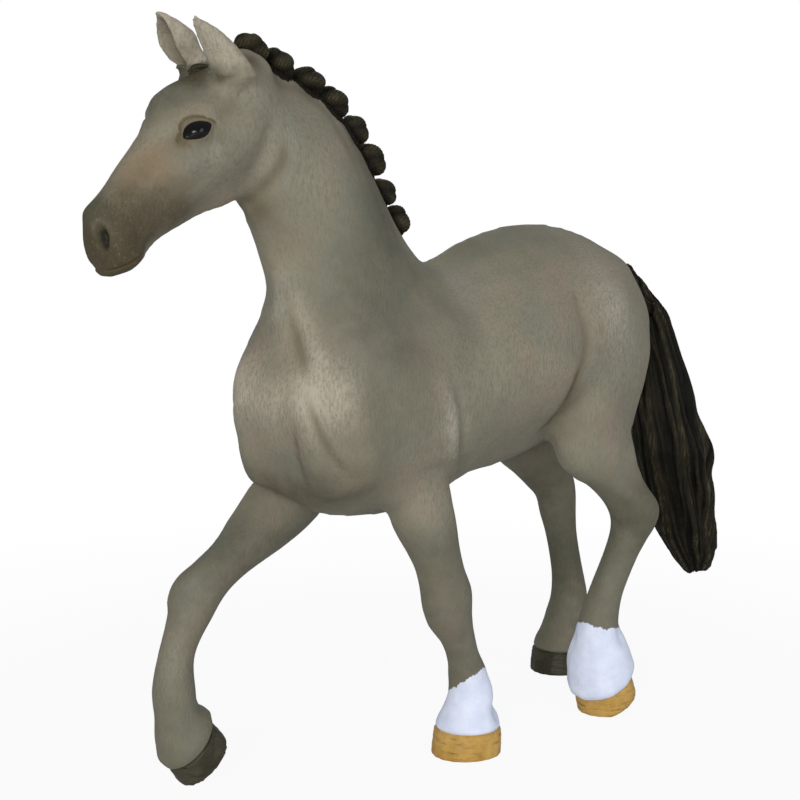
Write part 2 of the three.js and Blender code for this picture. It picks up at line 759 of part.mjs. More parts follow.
function forelock() {
  const root = headPlace(...forelockShares).addScaledVector(rise, seatGap);
  const rings = bunShares.map(([height, girth]) => {
    const half = (girth * forelockWidth) / 2;
    const reach = { front: half, back: half, outer: half, inner: half };
    const centre = root.clone().addScaledVector(along, height * forelockLength);
    return ovalSection(centre, rise, across, reach, forelockSides);
  });
  return loft(rings, 0, bunTopShare * forelockLength);
}

// Tail: ahead, up and aside shares down its middle, then half depth and half width as shares.
const tailShares = [
  [-0.4, 0.89, 0, 0.17, 0.24],
  [-0.44, 0.885, 0.0, 0.24, 0.31],
  [-0.475, 0.835, 0.03, 0.3, 0.38],
  [-0.498, 0.765, 0.07, 0.36, 0.44],
  [-0.514, 0.685, 0.11, 0.41, 0.48],
  [-0.522, 0.6, 0.15, 0.52, 0.52],
  [-0.538, 0.51, 0.185, 0.58, 0.54],
  [-0.56, 0.42, 0.212, 0.6, 0.5],
  [-0.579, 0.335, 0.235, 0.56, 0.45],
  [-0.598, 0.272, 0.25, 0.42, 0.34],
  [-0.606, 0.228, 0.25, 0.22, 0.2],
];
const coreShare = 0.86; // of the tail's own depth and width
const lockRingShare = 0.62; // how far out the locks lie
const lockGirthShare = 0.5;
const lockSwing = 0.5; // radians that a lock winds round the tail
const lockWave = 0.9; // radians of its winding from row to row
const shortLock = 3; // every third lock ends a row early

function tailCore(grow = 0) {
  const widthShare = tailWidth / tailDepth;
  const rows = tailShares.map(([ahead, up, aside, depth, width]) => [
    ahead,
    up,
    aside,
    depth * coreShare,
    depth * coreShare,
    width * coreShare * widthShare,
  ]);
  return loft(limbRings(rows, left, tailDepth, tailSides, 1, grow), seatGap + grow, seatGap + grow);
}

// One lock of hair: it follows the tail's middle at its own angle and ends at its own height.
function tailLock(number) {
  const angle = (number / tailLocks) * Math.PI * 2;
  const endsEarly = number % shortLock === 1;
  const rows = tailShares.slice(1, endsEarly ? -1 : undefined);
  const rings = rows.map(([ahead, up, aside, depth, width], k) => {
    const turn = angle + lockSwing * Math.sin(k * lockWave + number);
    const centre = place(ahead, up, aside);
    centre.x += Math.cos(turn) * depth * tailDepth * lockRingShare;
    centre.y += Math.sin(turn) * width * tailWidth * lockRingShare;
    const girth = lockGirthShare * Math.min(depth * tailDepth, width * tailWidth);
    const reach = { front: girth, back: girth, outer: girth, inner: girth };
    return ovalSection(centre, forward, across, reach, lockSides);
  });
  return loft(rings, seatGap, seatGap);
}

// The core's root is a peg in the rump, and the locks start clear of the rump and the thighs.
function tail() {
  let locks = tailLock(0);
  for (let number = 1; number < tailLocks; number++) locks = locks.add(tailLock(number));
  const rump = trunk(seatGap).add(haunch(left, seatGap)).add(haunch(right, seatGap));
  return tailCore().add(locks.subtract(rump));
}

// Assembly

function torso() {
  let joined = trunk().add(neck());
  for (const side of [left, right])
    joined = joined.add(haunch(side)).add(shoulder(side)).add(breast(side));
  for (const name of Object.keys(legs)) joined = joined.subtract(leg(name, seatGap));
  return joined.subtract(headSeat()).subtract(tailCore(seatGap));
}

// What the head takes up, with the gap round it.
function headSeat() {
  return skull(seatGap).add(ear(left, seatGap)).add(ear(right, seatGap));
}

// A cut can leave a loose sliver behind: only the piece itself is kept.
function largest(solid) {
  return solid.decompose().reduce((best, body) => (body.volume() > best.volume() ? body : best));
}

const figure = new THREE.Group();

function addPiece(name, solid, finish) {
  const mesh = new THREE.Mesh(geometryOf(largest(solid)), finishes[finish]);
  mesh.name = name;
  figure.add(mesh);
}

addPiece("torso", torso(), "coat");
addPiece("head", head(), "coat");
addPiece("left_eye", eye(left), "eye");
addPiece("right_eye", eye(right), "eye");
for (const [name, solid] of Object.entries(legPieces()))
  addPiece(name, solid, name.endsWith("sock") ? "white" : "coat");
for (const name of Object.keys(feet)) addPiece(name, hoof(name), feet[name].finish);
const maneSeat = neck(seatGap).add(trunk(seatGap)).add(headSeat());
addPiece("forelock", forelock().subtract(maneSeat), "dark");
for (let number = 0; number < plaitCount; number++)
  addPiece("mane_plait_" + (number + 1), plait(number).subtract(maneSeat), "dark");
addPiece("tail", tail(), "tail");

const box = new THREE.Box3().setFromObject(figure);
const centre = box.getCenter(new THREE.Vector3());
figure.position.set(-centre.x, -centre.y, -box.min.z);
export default figure;
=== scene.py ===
"""Visual model of the moulded toy horse: coat, ears, eyes, plaited mane, tail and hooves over the CAD frame."""
import math

import bmesh
import bpy
import numpy as np
from mathutils import Matrix, Vector
from mathutils.bvhtree import BVHTree


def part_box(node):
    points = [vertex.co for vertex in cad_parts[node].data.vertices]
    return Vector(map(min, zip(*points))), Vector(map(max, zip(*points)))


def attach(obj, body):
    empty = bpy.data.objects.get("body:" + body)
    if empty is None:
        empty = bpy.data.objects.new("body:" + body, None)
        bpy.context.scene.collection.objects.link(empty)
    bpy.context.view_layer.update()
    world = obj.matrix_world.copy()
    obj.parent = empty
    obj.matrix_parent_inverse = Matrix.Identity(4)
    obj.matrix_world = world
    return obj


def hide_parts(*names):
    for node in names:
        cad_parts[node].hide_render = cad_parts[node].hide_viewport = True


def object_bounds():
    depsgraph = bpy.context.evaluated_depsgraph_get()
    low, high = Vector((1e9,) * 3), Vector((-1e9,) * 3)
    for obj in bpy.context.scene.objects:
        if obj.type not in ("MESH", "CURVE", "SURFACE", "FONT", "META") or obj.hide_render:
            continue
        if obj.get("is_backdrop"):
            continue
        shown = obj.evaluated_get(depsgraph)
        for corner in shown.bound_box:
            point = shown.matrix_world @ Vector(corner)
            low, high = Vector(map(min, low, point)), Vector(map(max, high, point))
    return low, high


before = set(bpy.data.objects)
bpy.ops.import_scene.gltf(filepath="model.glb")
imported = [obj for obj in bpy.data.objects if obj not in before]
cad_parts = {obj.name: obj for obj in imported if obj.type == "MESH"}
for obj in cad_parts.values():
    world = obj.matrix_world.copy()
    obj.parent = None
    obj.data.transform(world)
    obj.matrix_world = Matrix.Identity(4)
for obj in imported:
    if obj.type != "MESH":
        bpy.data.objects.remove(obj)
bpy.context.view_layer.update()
MM = 0.001
chance = np.random.default_rng(20)

# ---------------------------------------------------------------- camera, fitted to the photograph
AZIMUTH, ELEVATION, DISTANCE = math.radians(-48.7), math.radians(8.3), 288.0
AIM = np.array((1.664, 8.834, 54.6))
FOCAL, CENTRE_U, CENTRE_V, PICTURE, SENSOR = 1800.0, 402.0, 399.0, 800.0, 36.0
BACK = np.array((math.sin(AZIMUTH) * math.cos(ELEVATION), -math.cos(AZIMUTH) * math.cos(ELEVATION),
                 math.sin(ELEVATION)))
RIGHT = np.array((math.cos(AZIMUTH), math.sin(AZIMUTH), 0.0))
UP = np.cross(BACK, RIGHT)
EYE_POINT = AIM + BACK * DISTANCE


def sight(u, v):
    """The line of sight through a place in the picture."""
    way = -BACK + RIGHT * ((u - CENTRE_U) / FOCAL) - UP * ((v - CENTRE_V) / FOCAL)
    return way / np.linalg.norm(way)


def beside(u, v, y):
    """The place on a line of sight that is y millimetres to the right of the frame's middle."""
    way = sight(u, v)
    return EYE_POINT + way * ((y - EYE_POINT[1]) / way[1])


def pictured(spots):
    """Where the picture shows each point, and how far it is from the camera."""
    away = (EYE_POINT - spots) @ BACK
    u = CENTRE_U + FOCAL * ((spots - EYE_POINT) @ RIGHT) / away
    v = CENTRE_V - FOCAL * ((spots - EYE_POINT) @ UP) / away
    return u, v, away


lens = bpy.data.cameras.new("view")
lens.sensor_width = SENSOR
lens.lens = FOCAL * SENSOR / PICTURE
lens.shift_x = (PICTURE / 2 - CENTRE_U) / PICTURE
lens.shift_y = (CENTRE_V - PICTURE / 2) / PICTURE
lens.clip_start, lens.clip_end = 0.01, 20.0
camera = bpy.data.objects.new("view", lens)
bpy.context.scene.collection.objects.link(camera)
turned = Matrix(np.stack((RIGHT, UP, BACK), 1).tolist()).to_4x4()
camera.matrix_world = Matrix.Translation(Vector(EYE_POINT) * MM) @ turned
bpy.context.scene.camera = camera

# ---------------------------------------------------------------- sizes, in millimetres
MIDLINE = (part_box("left_eye")[0].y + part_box("right_eye")[1].y) / 2 / MM
SKIN_VOXEL, SKIN_SEAM, BESIDE = 0.72, 0.36, 3.0
SKIN_ROUNDS, BODY_ROUNDS = 8, 60
EVEN_PUSHES = (0.52, -0.545)
WELD = 2e-6  # in metres
SEARCH = 70.0  # before and behind the figure's middle, along a line of sight
ELSEWHERE = 9.0  # a distance for points that are out of reach
POLL = np.array((-42.43, MIDLINE, 106.94))
FACE_DOWN = np.array((-0.629, 0.0, -0.777))
FACE_OUT = np.array((-0.777, 0.0, 0.629))


def deselect():
    bpy.ops.object.select_all(action="DESELECT")


def only(piece):
    deselect()
    piece.select_set(True)
    bpy.context.view_layer.objects.active = piece


def finish_with(piece, kind, **settings):
    """Adds a modifier and applies it."""
    modifier = piece.modifiers.new(kind.lower(), kind)
    for name, value in settings.items():
        setattr(modifier, name, value)
    only(piece)
    bpy.ops.object.modifier_apply(modifier=modifier.name)


def places(piece):
    """A piece's points, in millimetres."""
    found = np.empty(len(piece.data.vertices) * 3)
    piece.data.vertices.foreach_get("co", found)
    return found.reshape(-1, 3) / MM


def set_places(piece, spots):
    piece.data.vertices.foreach_set("co", (spots * MM).ravel())
    piece.data.update()


def outward(piece):
    """The direction in which the surface faces at each point."""
    piece.data.update()
    found = np.empty(len(piece.data.vertices) * 3, np.float32)
    piece.data.vertex_normals.foreach_get("vector", found)
    return found.reshape(-1, 3).astype(float)


def set_attribute(piece, name, values):
    layer = piece.data.attributes.new(name, "FLOAT", "POINT")
    layer.data.foreach_set("value", np.asarray(values, np.float32))


def neighbours(piece):
    """A function that averages any values over each point's neighbours."""
    pairs = np.empty(len(piece.data.edges) * 2, np.int32)
    piece.data.edges.foreach_get("vertices", pairs)
    first, second = pairs.reshape(-1, 2).T
    size = len(piece.data.vertices)
    count = np.maximum(np.bincount(first, minlength=size) + np.bincount(second, minlength=size), 1)

    def mean(values):
        columns = values.reshape(size, -1).T
        sums = [np.bincount(first, c[second], size) + np.bincount(second, c[first], size) for c in columns]
        return (np.stack(sums, 1) / count[:, None]).reshape(values.shape)

    return mean


def even(piece, rounds, share=1.0):
    """Evens out facets without shrinking the form."""
    mean = neighbours(piece)
    spots = places(piece)
    share = np.asarray(share).reshape(-1, 1)
    for step in range(rounds):
        for push in EVEN_PUSHES:
            spots = spots + push * share * (mean(spots) - spots)
    set_places(piece, spots)


def joined(first, *others):
    """Joins pieces into the first one."""
    deselect()
    for piece in (first, *others):
        piece.select_set(True)
    bpy.context.view_layer.objects.active = first
    if others:
        bpy.ops.object.join()
    return first


def form_of(name, *nodes, grow=0.0):
    """A closed copy of CAD nodes, swollen so that the seams between them close."""
    copies = []
    for node in nodes:
        copy = bpy.data.objects.new(name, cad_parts[node].data.copy())
        bpy.context.scene.collection.objects.link(copy)
        copies.append(copy)
    piece = joined(*copies)
    piece.name = name
    piece.data.materials.clear()
    bpy.ops.object.mode_set(mode="EDIT")
    bpy.ops.mesh.select_all(action="SELECT")
    bpy.ops.mesh.remove_doubles(threshold=WELD)
    bpy.ops.object.mode_set(mode="OBJECT")
    if piece.data.has_custom_normals:
        bpy.ops.mesh.customdata_custom_splitnormals_clear()
    set_places(piece, places(piece) + outward(piece) * grow)
    return piece


def clear_beyond(piece, inside):
    """Deletes the points that a test names and closes the holes."""
    shape = bmesh.new()
    shape.from_mesh(piece.data)
    gone = [vert for vert in shape.verts if inside(np.array(vert.co) / MM)]
    bmesh.ops.delete(shape, geom=gone, context="VERTS")
    bmesh.ops.holes_fill(shape, edges=[edge for edge in shape.edges if edge.is_boundary], sides=0)
    bmesh.ops.triangulate(shape, faces=shape.faces)
    shape.to_mesh(piece.data)
    shape.free()


def divide_where(piece, wanted):
    """Divides the faces whose points are all wanted, once."""
    shape = bmesh.new()
    shape.from_mesh(piece.data)
    shape.verts.ensure_lookup_table()
    edges = {edge for face in shape.faces if all(wanted[v.index] for v in face.verts) for edge in face.edges}
    bmesh.ops.subdivide_edges(shape, edges=list(edges), cuts=1, use_grid_fill=True)
    shape.to_mesh(piece.data)
    shape.free()
    piece.data.update()


def surface_of(piece):
    """A piece's surface, for finding places on it."""
    shape = bmesh.new()
    shape.from_mesh(piece.data)
    tree = BVHTree.FromBMesh(shape)
    shape.free()
    return tree


def seen_at(tree, u, v):
    """The place on a surface that the picture shows at a pixel, in millimetres."""
    hit = tree.ray_cast(Vector(EYE_POINT) * MM, Vector(sight(u, v)))
    if hit[0] is not None:
        return np.array(hit[0]) / MM
    close = []
    for reach in np.arange(DISTANCE - SEARCH, DISTANCE + SEARCH, 1.0):
        place, normal, face, gap = tree.find_nearest(Vector(EYE_POINT + sight(u, v) * reach) * MM)
        close.append((gap, tuple(place)))
    gap, place = min(close)
    return np.array(place) / MM if gap < BESIDE * MM else None


def nearest(tree, spot):
    return np.array(tree.find_nearest(Vector(spot) * MM)[0]) / MM


def along(spots, step):
    """A line through spots, with a point at every step."""
    spots = np.asarray(spots, float)
    reach = np.r_[0, np.cumsum(np.linalg.norm(np.diff(spots, axis=0), axis=1))]
    marks = np.linspace(0, reach[-1], max(int(reach[-1] / step) + 2, 3))
    return np.stack([np.interp(marks, reach, spots[:, axis]) for axis in range(3)], 1)


def field(spots, line, width, fade=0.25):
    """How near each point is to a line, from 0 to 1, with both ends of the line fading out."""
    near = np.zeros(len(spots))
    low, high = line.min(0) - 3 * width, line.max(0) + 3 * width
    close = np.where(((spots > low) & (spots < high)).all(1))[0]
    if not len(close):
        return near
    share = np.linspace(0, 1, len(line))
    weight = np.clip(np.minimum(share, 1 - share) / max(fade, 1e-6), 0, 1)
    weight = np.sin(weight * math.pi / 2) * 0.85 + 0.15 if fade else np.ones(len(line))
    for point, strength in zip(line, weight):
        distance = ((spots[close] - point) ** 2).sum(1)
        near[close] = np.maximum(near[close], strength * np.exp(-distance / width ** 2))
    return near


def eased(value, low, high):
    share = np.clip((value - low) / (high - low), 0, 1)
    return share * share * (3 - 2 * share)


# ---------------------------------------------------------------- shapes that several pieces use
def unit(way):
    way = np.asarray(way, float)
    return way / np.linalg.norm(way)


def loft(name, rings):
    """A closed skin through rings of points, in millimetres, with a pole at each end."""
    rings = np.asarray(rings, float)
    rows, size = rings.shape[:2]
    spots = np.vstack([rings.reshape(-1, 3), rings[0].mean(0), rings[-1].mean(0)])
    faces = []
    for row in range(rows - 1):
        for place in range(size):
            after = (place + 1) % size
            faces.append((row * size + place, row * size + after, (row + 1) * size + after, (row + 1) * size + place))
    for place in range(size):
        after = (place + 1) % size
        faces.append((rows * size, after, place))
        faces.append((rows * size + 1, (rows - 1) * size + place, (rows - 1) * size + after))
    mesh = bpy.data.meshes.new(name)
    mesh.from_pydata((spots * MM).tolist(), [], faces)
    piece = bpy.data.objects.new(name, mesh)
    bpy.context.scene.collection.objects.link(piece)
    only(piece)
    bpy.ops.object.mode_set(mode="EDIT")
    bpy.ops.mesh.select_all(action="SELECT")
    bpy.ops.mesh.normals_make_consistent(inside=False)
    bpy.ops.object.mode_set(mode="OBJECT")
    return piece


def ball(name, segments=48, rings=24):
    """A unit ball, as a start for a rounded piece, and its points."""
    deselect()
    bpy.ops.mesh.primitive_uv_sphere_add(segments=segments, ring_count=rings, radius=MM)
    piece = bpy.context.object
    piece.name = name
    return piece, places(piece)


def dress(piece, material, slot, *nodes):
    """Gives a piece its paint, its smooth shading and its body, and hides the CAD nodes it stands for."""
    piece.data.materials.clear()
    piece.data.materials.append(material)
    only(piece)
    bpy.ops.object.shade_smooth()
    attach(piece, "root")
    if nodes:
        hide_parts(*nodes)


def sole_of(node):
    """The direction from the sole to the coronet: the largest flat face looks the other way."""
    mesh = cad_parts[node].data
    facing = {}
    for face in mesh.polygons:
        key = tuple(round(value, 2) for value in face.normal)
        facing[key] = facing.get(key, 0.0) + face.area
    return -unit(max(facing, key=facing.get))


# ---------------------------------------------------------------- paint
class Shade:
    """A number or colour inside a material, on which Python's operators work."""

    def __init__(self, paint, socket):
        self.paint, self.socket = paint, socket

    def __add__(self, other):
        return self.paint.number("ADD", self, other)

    def __sub__(self, other):
        return self.paint.number("SUBTRACT", self, other)

    def __rsub__(self, other):
        return self.paint.number("SUBTRACT", other, self)

    def __mul__(self, other):
        return self.paint.number("MULTIPLY", self, other)

    def __truediv__(self, other):
        return self.paint.number("DIVIDE", self, other)

    __radd__ = __add__
    __rmul__ = __mul__


class Paint:
    """A material under construction."""

    def __init__(self, name, **finish):
        self.material = bpy.data.materials.new(name)
        self.material.use_nodes = True
        self.tree = self.material.node_tree
        self.shader = self.tree.nodes["Principled BSDF"]
        for socket, value in finish.items():
            self.shader.inputs[socket.replace("_", " ")].default_value = value
        where = self.node("TexCoord", {}, {}, "Object")
        self.where = self.node("VectorMath", {"operation": "MULTIPLY"}, {0: where, 1: (1 / MM,) * 3})

    def node(self, kind, settings, sockets, out=0):
        made = self.tree.nodes.new("ShaderNode" + kind)
        for name, value in settings.items():
            setattr(made, name, value)
        for name, value in sockets.items():
            self.feed(made.inputs[name], value)
        return Shade(self, made.outputs[out])

    def feed(self, socket, value):
        if isinstance(value, Shade):
            self.tree.links.new(value.socket, socket)
        else:
            socket.default_value = value

    def number(self, operation, *values):
        return self.node("Math", {"operation": operation}, dict(enumerate(values)))

    def attribute(self, name):
        return self.node("Attribute", {"attribute_name": name}, {}, "Fac")

    def mix(self, amount, low, high):
        return self.node("Mix", {"data_type": "RGBA"}, {0: amount, 6: low, 7: high}, 2)

    def stretched(self, size):
        return self.node("VectorMath", {"operation": "MULTIPLY"}, {0: self.where, 1: size})

    def noise(self, size, detail=3.0, rough=0.5, where=None, out="Fac"):
        """Cloudy noise whose clouds are about size millimetres."""
        sockets = {"Vector": where or self.where, "Scale": 1.0 / size, "Detail": detail, "Roughness": rough}
        return self.node("TexNoise", {}, sockets, out)

    def step(self, value, low, high, to_low=0.0, to_high=1.0):
        sockets = {"Value": value, "From Min": low, "From Max": high, "To Min": to_low, "To Max": to_high}
        return self.node("MapRange", {"interpolation_type": "SMOOTHSTEP"}, sockets)

    def specks(self, size, reach):
        """Tiny round dots, one in each cell of about size millimetres, where reach is their radius as a share."""
        cell = self.node("TexVoronoi", {}, {"Vector": self.where, "Scale": 1.0 / size, "Randomness": 1.0}, "Distance")
        return self.step(cell, reach, reach * 0.6)

    def end(self, colour, rough=None, *bumps):
        """Feeds the shader. A bump is a height and how far it stands out in millimetres."""
        self.feed(self.shader.inputs["Base Color"], colour)
        if rough is not None:
            self.feed(self.shader.inputs["Roughness"], rough)
        normal = None
        for height, distance in bumps:
            sockets = {"Height": height, "Distance": distance * MM, "Strength": 1.0}
            if normal is not None:
                sockets["Normal"] = normal
            normal = self.node("Bump", {}, sockets)
        if normal is not None:
            self.feed(self.shader.inputs["Normal"], normal)
        return self.material


def tint(red, green, blue):
    """A colour given as it looks on a screen, from 0 to 255."""
    share = [value / 255 for value in (red, green, blue)]
    return tuple(value / 12.92 if value <= 0.04045 else ((value + 0.055) / 1.055) ** 2.4 for value in share) + (1.0,)


def coat_paint():
    """Grey vinyl: faint mottling and hair grain, brown paint in the creases, greener darker paint and painted shade,
    paler paint and painted highlights, white socks.
    """
    paint = Paint("grey_vinyl_coat", Roughness=0.6, IOR=1.45, Specular_IOR_Level=0.28)
    clouds = paint.noise(11.0, 3.0, 0.5)
    patchy = paint.noise(2.4, 4.0, 0.6)
    warm = paint.noise(7.0, 2.0, 0.5, paint.stretched((1.0, 1.3, 0.8)))
    fine = paint.noise(0.42, 4.0, 0.7)
    head = paint.attribute("head")
    body_hair = paint.noise(0.28, 3.0, 0.6, paint.stretched((0.7, 1.0, 0.22)))
    face_hair = paint.noise(0.28, 3.0, 0.6, paint.stretched((0.45, 1.0, 0.3)))
    hair = body_hair * (1.0 - head) + face_hair * head
    colour = paint.mix(paint.step(clouds, 0.34, 0.66), tint(128, 124, 107), tint(139, 133, 115))
    colour = paint.mix(paint.step(warm, 0.5, 0.72) * 0.4, colour, tint(146, 130, 116))
    colour = paint.mix(paint.step(warm, 0.48, 0.3) * 0.3, colour, tint(120, 126, 118))
    # The deep layer is darker paint and painted shade, and the pale layer is paler paint and painted highlights.
    for layer, shade, most in (("warm", tint(150, 126, 100), 0.8), ("rust", tint(118, 94, 62), 0.8),
                               ("lilac", tint(140, 131, 128), 0.8), ("deep", tint(70, 72, 58), 0.85),
                               ("brown", tint(66, 56, 34), 0.85), ("pale_tone_and_highlight", tint(182, 173, 156), 0.7)):
        grain = (fine - 0.5) * 0.5 + (hair - 0.5) * 0.5
        amount = paint.attribute(layer) * (patchy * 0.8 + 0.6 + grain) + (fine - 0.5) * 0.2 + (hair - 0.5) * 0.2
        colour = paint.mix(paint.step(amount, 0.02, 1.05) * most, colour, shade)
    ear = paint.attribute("ear")
    ear_colour = paint.mix(paint.step(fine, 0.5, 0.28) * 0.4, tint(160, 152, 136), tint(138, 122, 96))
    colour = paint.mix(ear * 0.95, colour, ear_colour)
    colour = paint.mix(paint.step(fine, 0.52, 0.78) * 0.2, colour, tint(176, 172, 160))
    colour = paint.mix(paint.step(fine, 0.48, 0.26) * 0.3, colour, tint(92, 88, 72))
    colour = paint.mix(paint.step(hair, 0.56, 0.36) * 0.26, colour, tint(84, 78, 58))
    wash = paint.attribute("wash") + (hair - 0.5) * 0.5 + (fine - 0.5) * 0.3
    colour = paint.mix(paint.step(wash, 0.1, 1.0) * 0.8, colour, tint(82, 68, 42))
    dark = paint.step(paint.attribute("dark") + (fine - 0.5) * 0.3, 0.2, 0.9)
    colour = paint.mix(dark, colour, tint(40, 38, 27))
    colour = paint.mix(paint.specks(4.1, 0.02) * 0.6, colour, tint(60, 54, 40))
    colour = paint.mix(paint.specks(9.1, 0.006) * 0.7, colour, tint(216, 214, 204))
    ragged = paint.noise(0.8, 3.0, 0.7, paint.stretched((1.0, 1.0, 0.45)))
    sock = paint.step(paint.attribute("sock") + (ragged - 0.5) * 1.3, -0.07, 0.07)
    thin = paint.step(paint.noise(1.6, 4.0, 0.7), 0.62, 0.72) * paint.step(paint.attribute("sock"), 4.5, 0.0)
    white = paint.mix(paint.step(paint.noise(2.6, 4.0, 0.6), 0.35, 0.7), tint(214, 221, 242), tint(226, 232, 249))
    white = paint.mix(thin * 0.55, white, tint(150, 152, 152))
    colour = paint.mix(sock, colour, white)
    rough = paint.step(clouds, 0.3, 0.7, 0.55, 0.66) + sock * 0.2
    strand = (1.0 - sock) * (1.0 - paint.attribute("bare"))
    return paint.end(colour, rough, (hair * strand, 0.11), (fine, 0.05), (sock, 0.06))


# ---------------------------------------------------------------- coat: one skin over body, head and legs
# Ears are rows of pixels of the photograph: height, left edge and right edge. Aside is how far the ear stands from
# the frame's middle, turn and slit are where its opening faces, in degrees from the picture's left towards the camera,
# and half its width, and cup is how deep the hollow is, as a share of half the ear's width.
EARS = {
    "left": dict(rows=[(15.2, 192.5, 196.0), (18.0, 190.3, 199.8), (24.0, 191.0, 210.5), (31.0, 192.8, 221.5),
                       (44.6, 197.2, 235.6), (58.0, 202.6, 247.0), (68.0, 206.6, 255.0), (80.0, 208.0, 262.0)],
                 aside=-4.9, turn=-15.0, slit=45.0, cup=1.2),
    "right": dict(rows=[(9.6, 156.5, 160.5), (12.0, 154.6, 163.5), (20.0, 153.8, 178.5), (33.0, 153.7, 195.5),
                        (46.5, 157.2, 200.5), (60.0, 168.0, 206.0), (68.0, 180.0, 209.0), (80.0, 198.0, 214.0)],
                  aside=3.9, turn=30.0, slit=50.0, cup=1.3),
}
EAR_DEEP, EAR_SLICES, EAR_POINTS = 0.8, 34, 40
# The foot and the tip of each ear of the CAD, in millimetres.
CAD_EARS = (((-48.82, -4.92, 105.03), (-53.96, -5.16, 111.4)), ((-47.92, 3.72, 105.8), (-51.76, 4.34, 112.5)))
BODY = ("torso", "head", "left_foreleg", "right_foreleg", "left_hindleg", "right_hindleg",
        "left_fore_sock", "left_hind_sock")
HOOVES = ("left_fore_hoof", "right_fore_hoof", "left_hind_hoof", "right_hind_hoof")


def mirrored(spot):
    return spot * (1, -1, 1) + (0, 2 * MIDLINE, 0)


# Pixels of the photograph where the steps between the CAD's forms are melted into the skin, on both sides, and how far
# in millimetres each one reaches.
MELTED = [(262, 70), (268, 84), (276, 98), (283, 112), (287, 126), (640, 300), (643, 320), (644, 345), (628, 434),
          (630, 420), (584, 378), (596, 369), (608, 361), (622, 352), (636, 344), (302, 355), (290, 352), (318, 352),
          (300, 495), (320, 500), (340, 503), (362, 504), (385, 500), (405, 492), (335, 480), (360, 480), (385, 475),
          (262, 438), (272, 450), (284, 452), (256, 462), (300, 480), (272, 470)]
MELT_REACH, MELT_ROUNDS = 3.6, 40


# Points of the photograph's outlines, as height and edge in pixels, read where a curve turns. Side is 1 for a
# right edge, near is how far off the skin's edge may be, and reach is how wide a band moves with it.
COAT_OUTLINES = {
    "rump": dict(side=1, near=26, reach=46, points=[
        (236, 587), (250, 612), (260, 626), (280, 638), (300, 645.5), (330, 650.5), (355, 650), (380, 645),
        (430, 634.5), (470, 641), (490, 649.5), (500, 657), (510, 659.5), (530, 653.5), (546, 643.5)]),
    "breast and far foreleg": dict(side=-1, near=14, reach=30, points=[
        (212, 240), (230, 249.5), (250, 256.5), (295, 264), (310, 260), (330, 250), (350, 241), (370, 235.5),
        (400, 232), (420, 233), (440, 237.5), (455, 237), (470, 240.5), (485, 247), (500, 240), (520, 226),
        (540, 213.5), (560, 195), (580, 174.5), (600, 167), (616, 165)]),
    "face": dict(side=-1, near=16, reach=26, points=[
        (60, 171), (67, 179.5), (74, 181), (80, 172), (90, 158), (98, 150), (110, 146), (118, 145.5), (130, 139),
        (170, 111.5), (200, 92), (209, 83), (225, 82.5), (250, 85), (265, 92), (274, 106)]),
    "chin": dict(side=1, near=14, reach=22, points=[
        (210, 210), (230, 176), (240, 159.5), (250, 151.5), (265, 142), (274, 125)]),
}
TAIL_OUTLINES = {
    "rear": dict(side=1, near=20, reach=40, points=[
        (262, 628), (280, 644.5), (300, 659), (315, 669.5), (330, 674), (350, 680.5), (380, 691), (400, 696),
        (413, 697.5), (430, 706), (445, 713), (456, 714.5), (475, 711.5), (490, 714.5), (515, 715.5), (545, 717),
        (555, 715), (562, 705.5)]),
}


def through(points, heights):
    """The edge at each height, on the smooth curve through an outline's points."""
    v, u = np.array(points, float).T
    slopes = np.gradient(u, v)
    spot = np.clip(np.searchsorted(v, heights) - 1, 0, len(v) - 2)
    step = v[spot + 1] - v[spot]
    share = np.clip((heights - v[spot]) / step, 0, 1)
    rest = 1 - share
    return (rest ** 2 * (u[spot] * (1 + 2 * share) + slopes[spot] * step * share)
            + share ** 2 * (u[spot + 1] * (1 + 2 * rest) - slopes[spot + 1] * step * rest))


def fitted(spots, side, near, reach, points):
    """Moves a band of points along the picture's width, so that their edge runs along the curve."""
    u, v, away = pictured(spots)
    wanted = through(points, v)
    levels = np.arange(points[0][0], points[-1][0], 3.0)
    gaps, edges = [], []
    for level in levels:
        slab = u[(np.abs(v - level) < 3) & (np.abs(u - wanted) < near)]
        goal = through(points, level)
        edges.append((slab * side).max() * side if len(slab) else goal)
        gaps.append(goal - edges[-1])
    gaps = np.convolve(np.pad(gaps, 2, mode="edge"), (0.1, 0.2, 0.4, 0.2, 0.1), mode="valid")
    gaps *= eased(levels, levels[0], levels[0] + 12) * eased(levels, levels[-1], levels[-1] - 12)
    gap = np.interp(v, levels, gaps, left=0, right=0)
    inside = (np.interp(v, levels, edges) - u) * side
    share = eased(inside, reach, 0) * (inside > -near)
    return spots + RIGHT * (gap * share * away / FOCAL)[:, None]


def is_ear(spot):
    """True for a point of the head that belongs to an ear of the CAD."""
    for foot, tip in np.array(CAD_EARS):
        axis = unit(tip - foot)
        height = (spot - foot) @ axis
        if height > 1.2 and np.linalg.norm(spot - foot - axis * height) < 5.0:
            return True
    return False


def ear_form(side, rows, aside, **cut):
    """A leaf whose slices are as wide as the picture shows."""
    rows = np.array(rows)
    rings = []
    for height in np.linspace(rows[0, 0], rows[-1, 0], EAR_SLICES):
        left, right = (np.interp(height, rows[:, 0], rows[:, edge]) for edge in (1, 2))
        middle = beside((left + right) / 2, height, aside)
        half = (right - left) / 2 * ((EYE_POINT - middle) @ BACK) / FOCAL
        turns = np.linspace(0, 2 * math.pi, EAR_POINTS, endpoint=False)[:, None]
        rings.append(middle + RIGHT * np.cos(turns) * half + BACK * np.sin(turns) * half * EAR_DEEP)
    return loft(side + "_ear", rings)


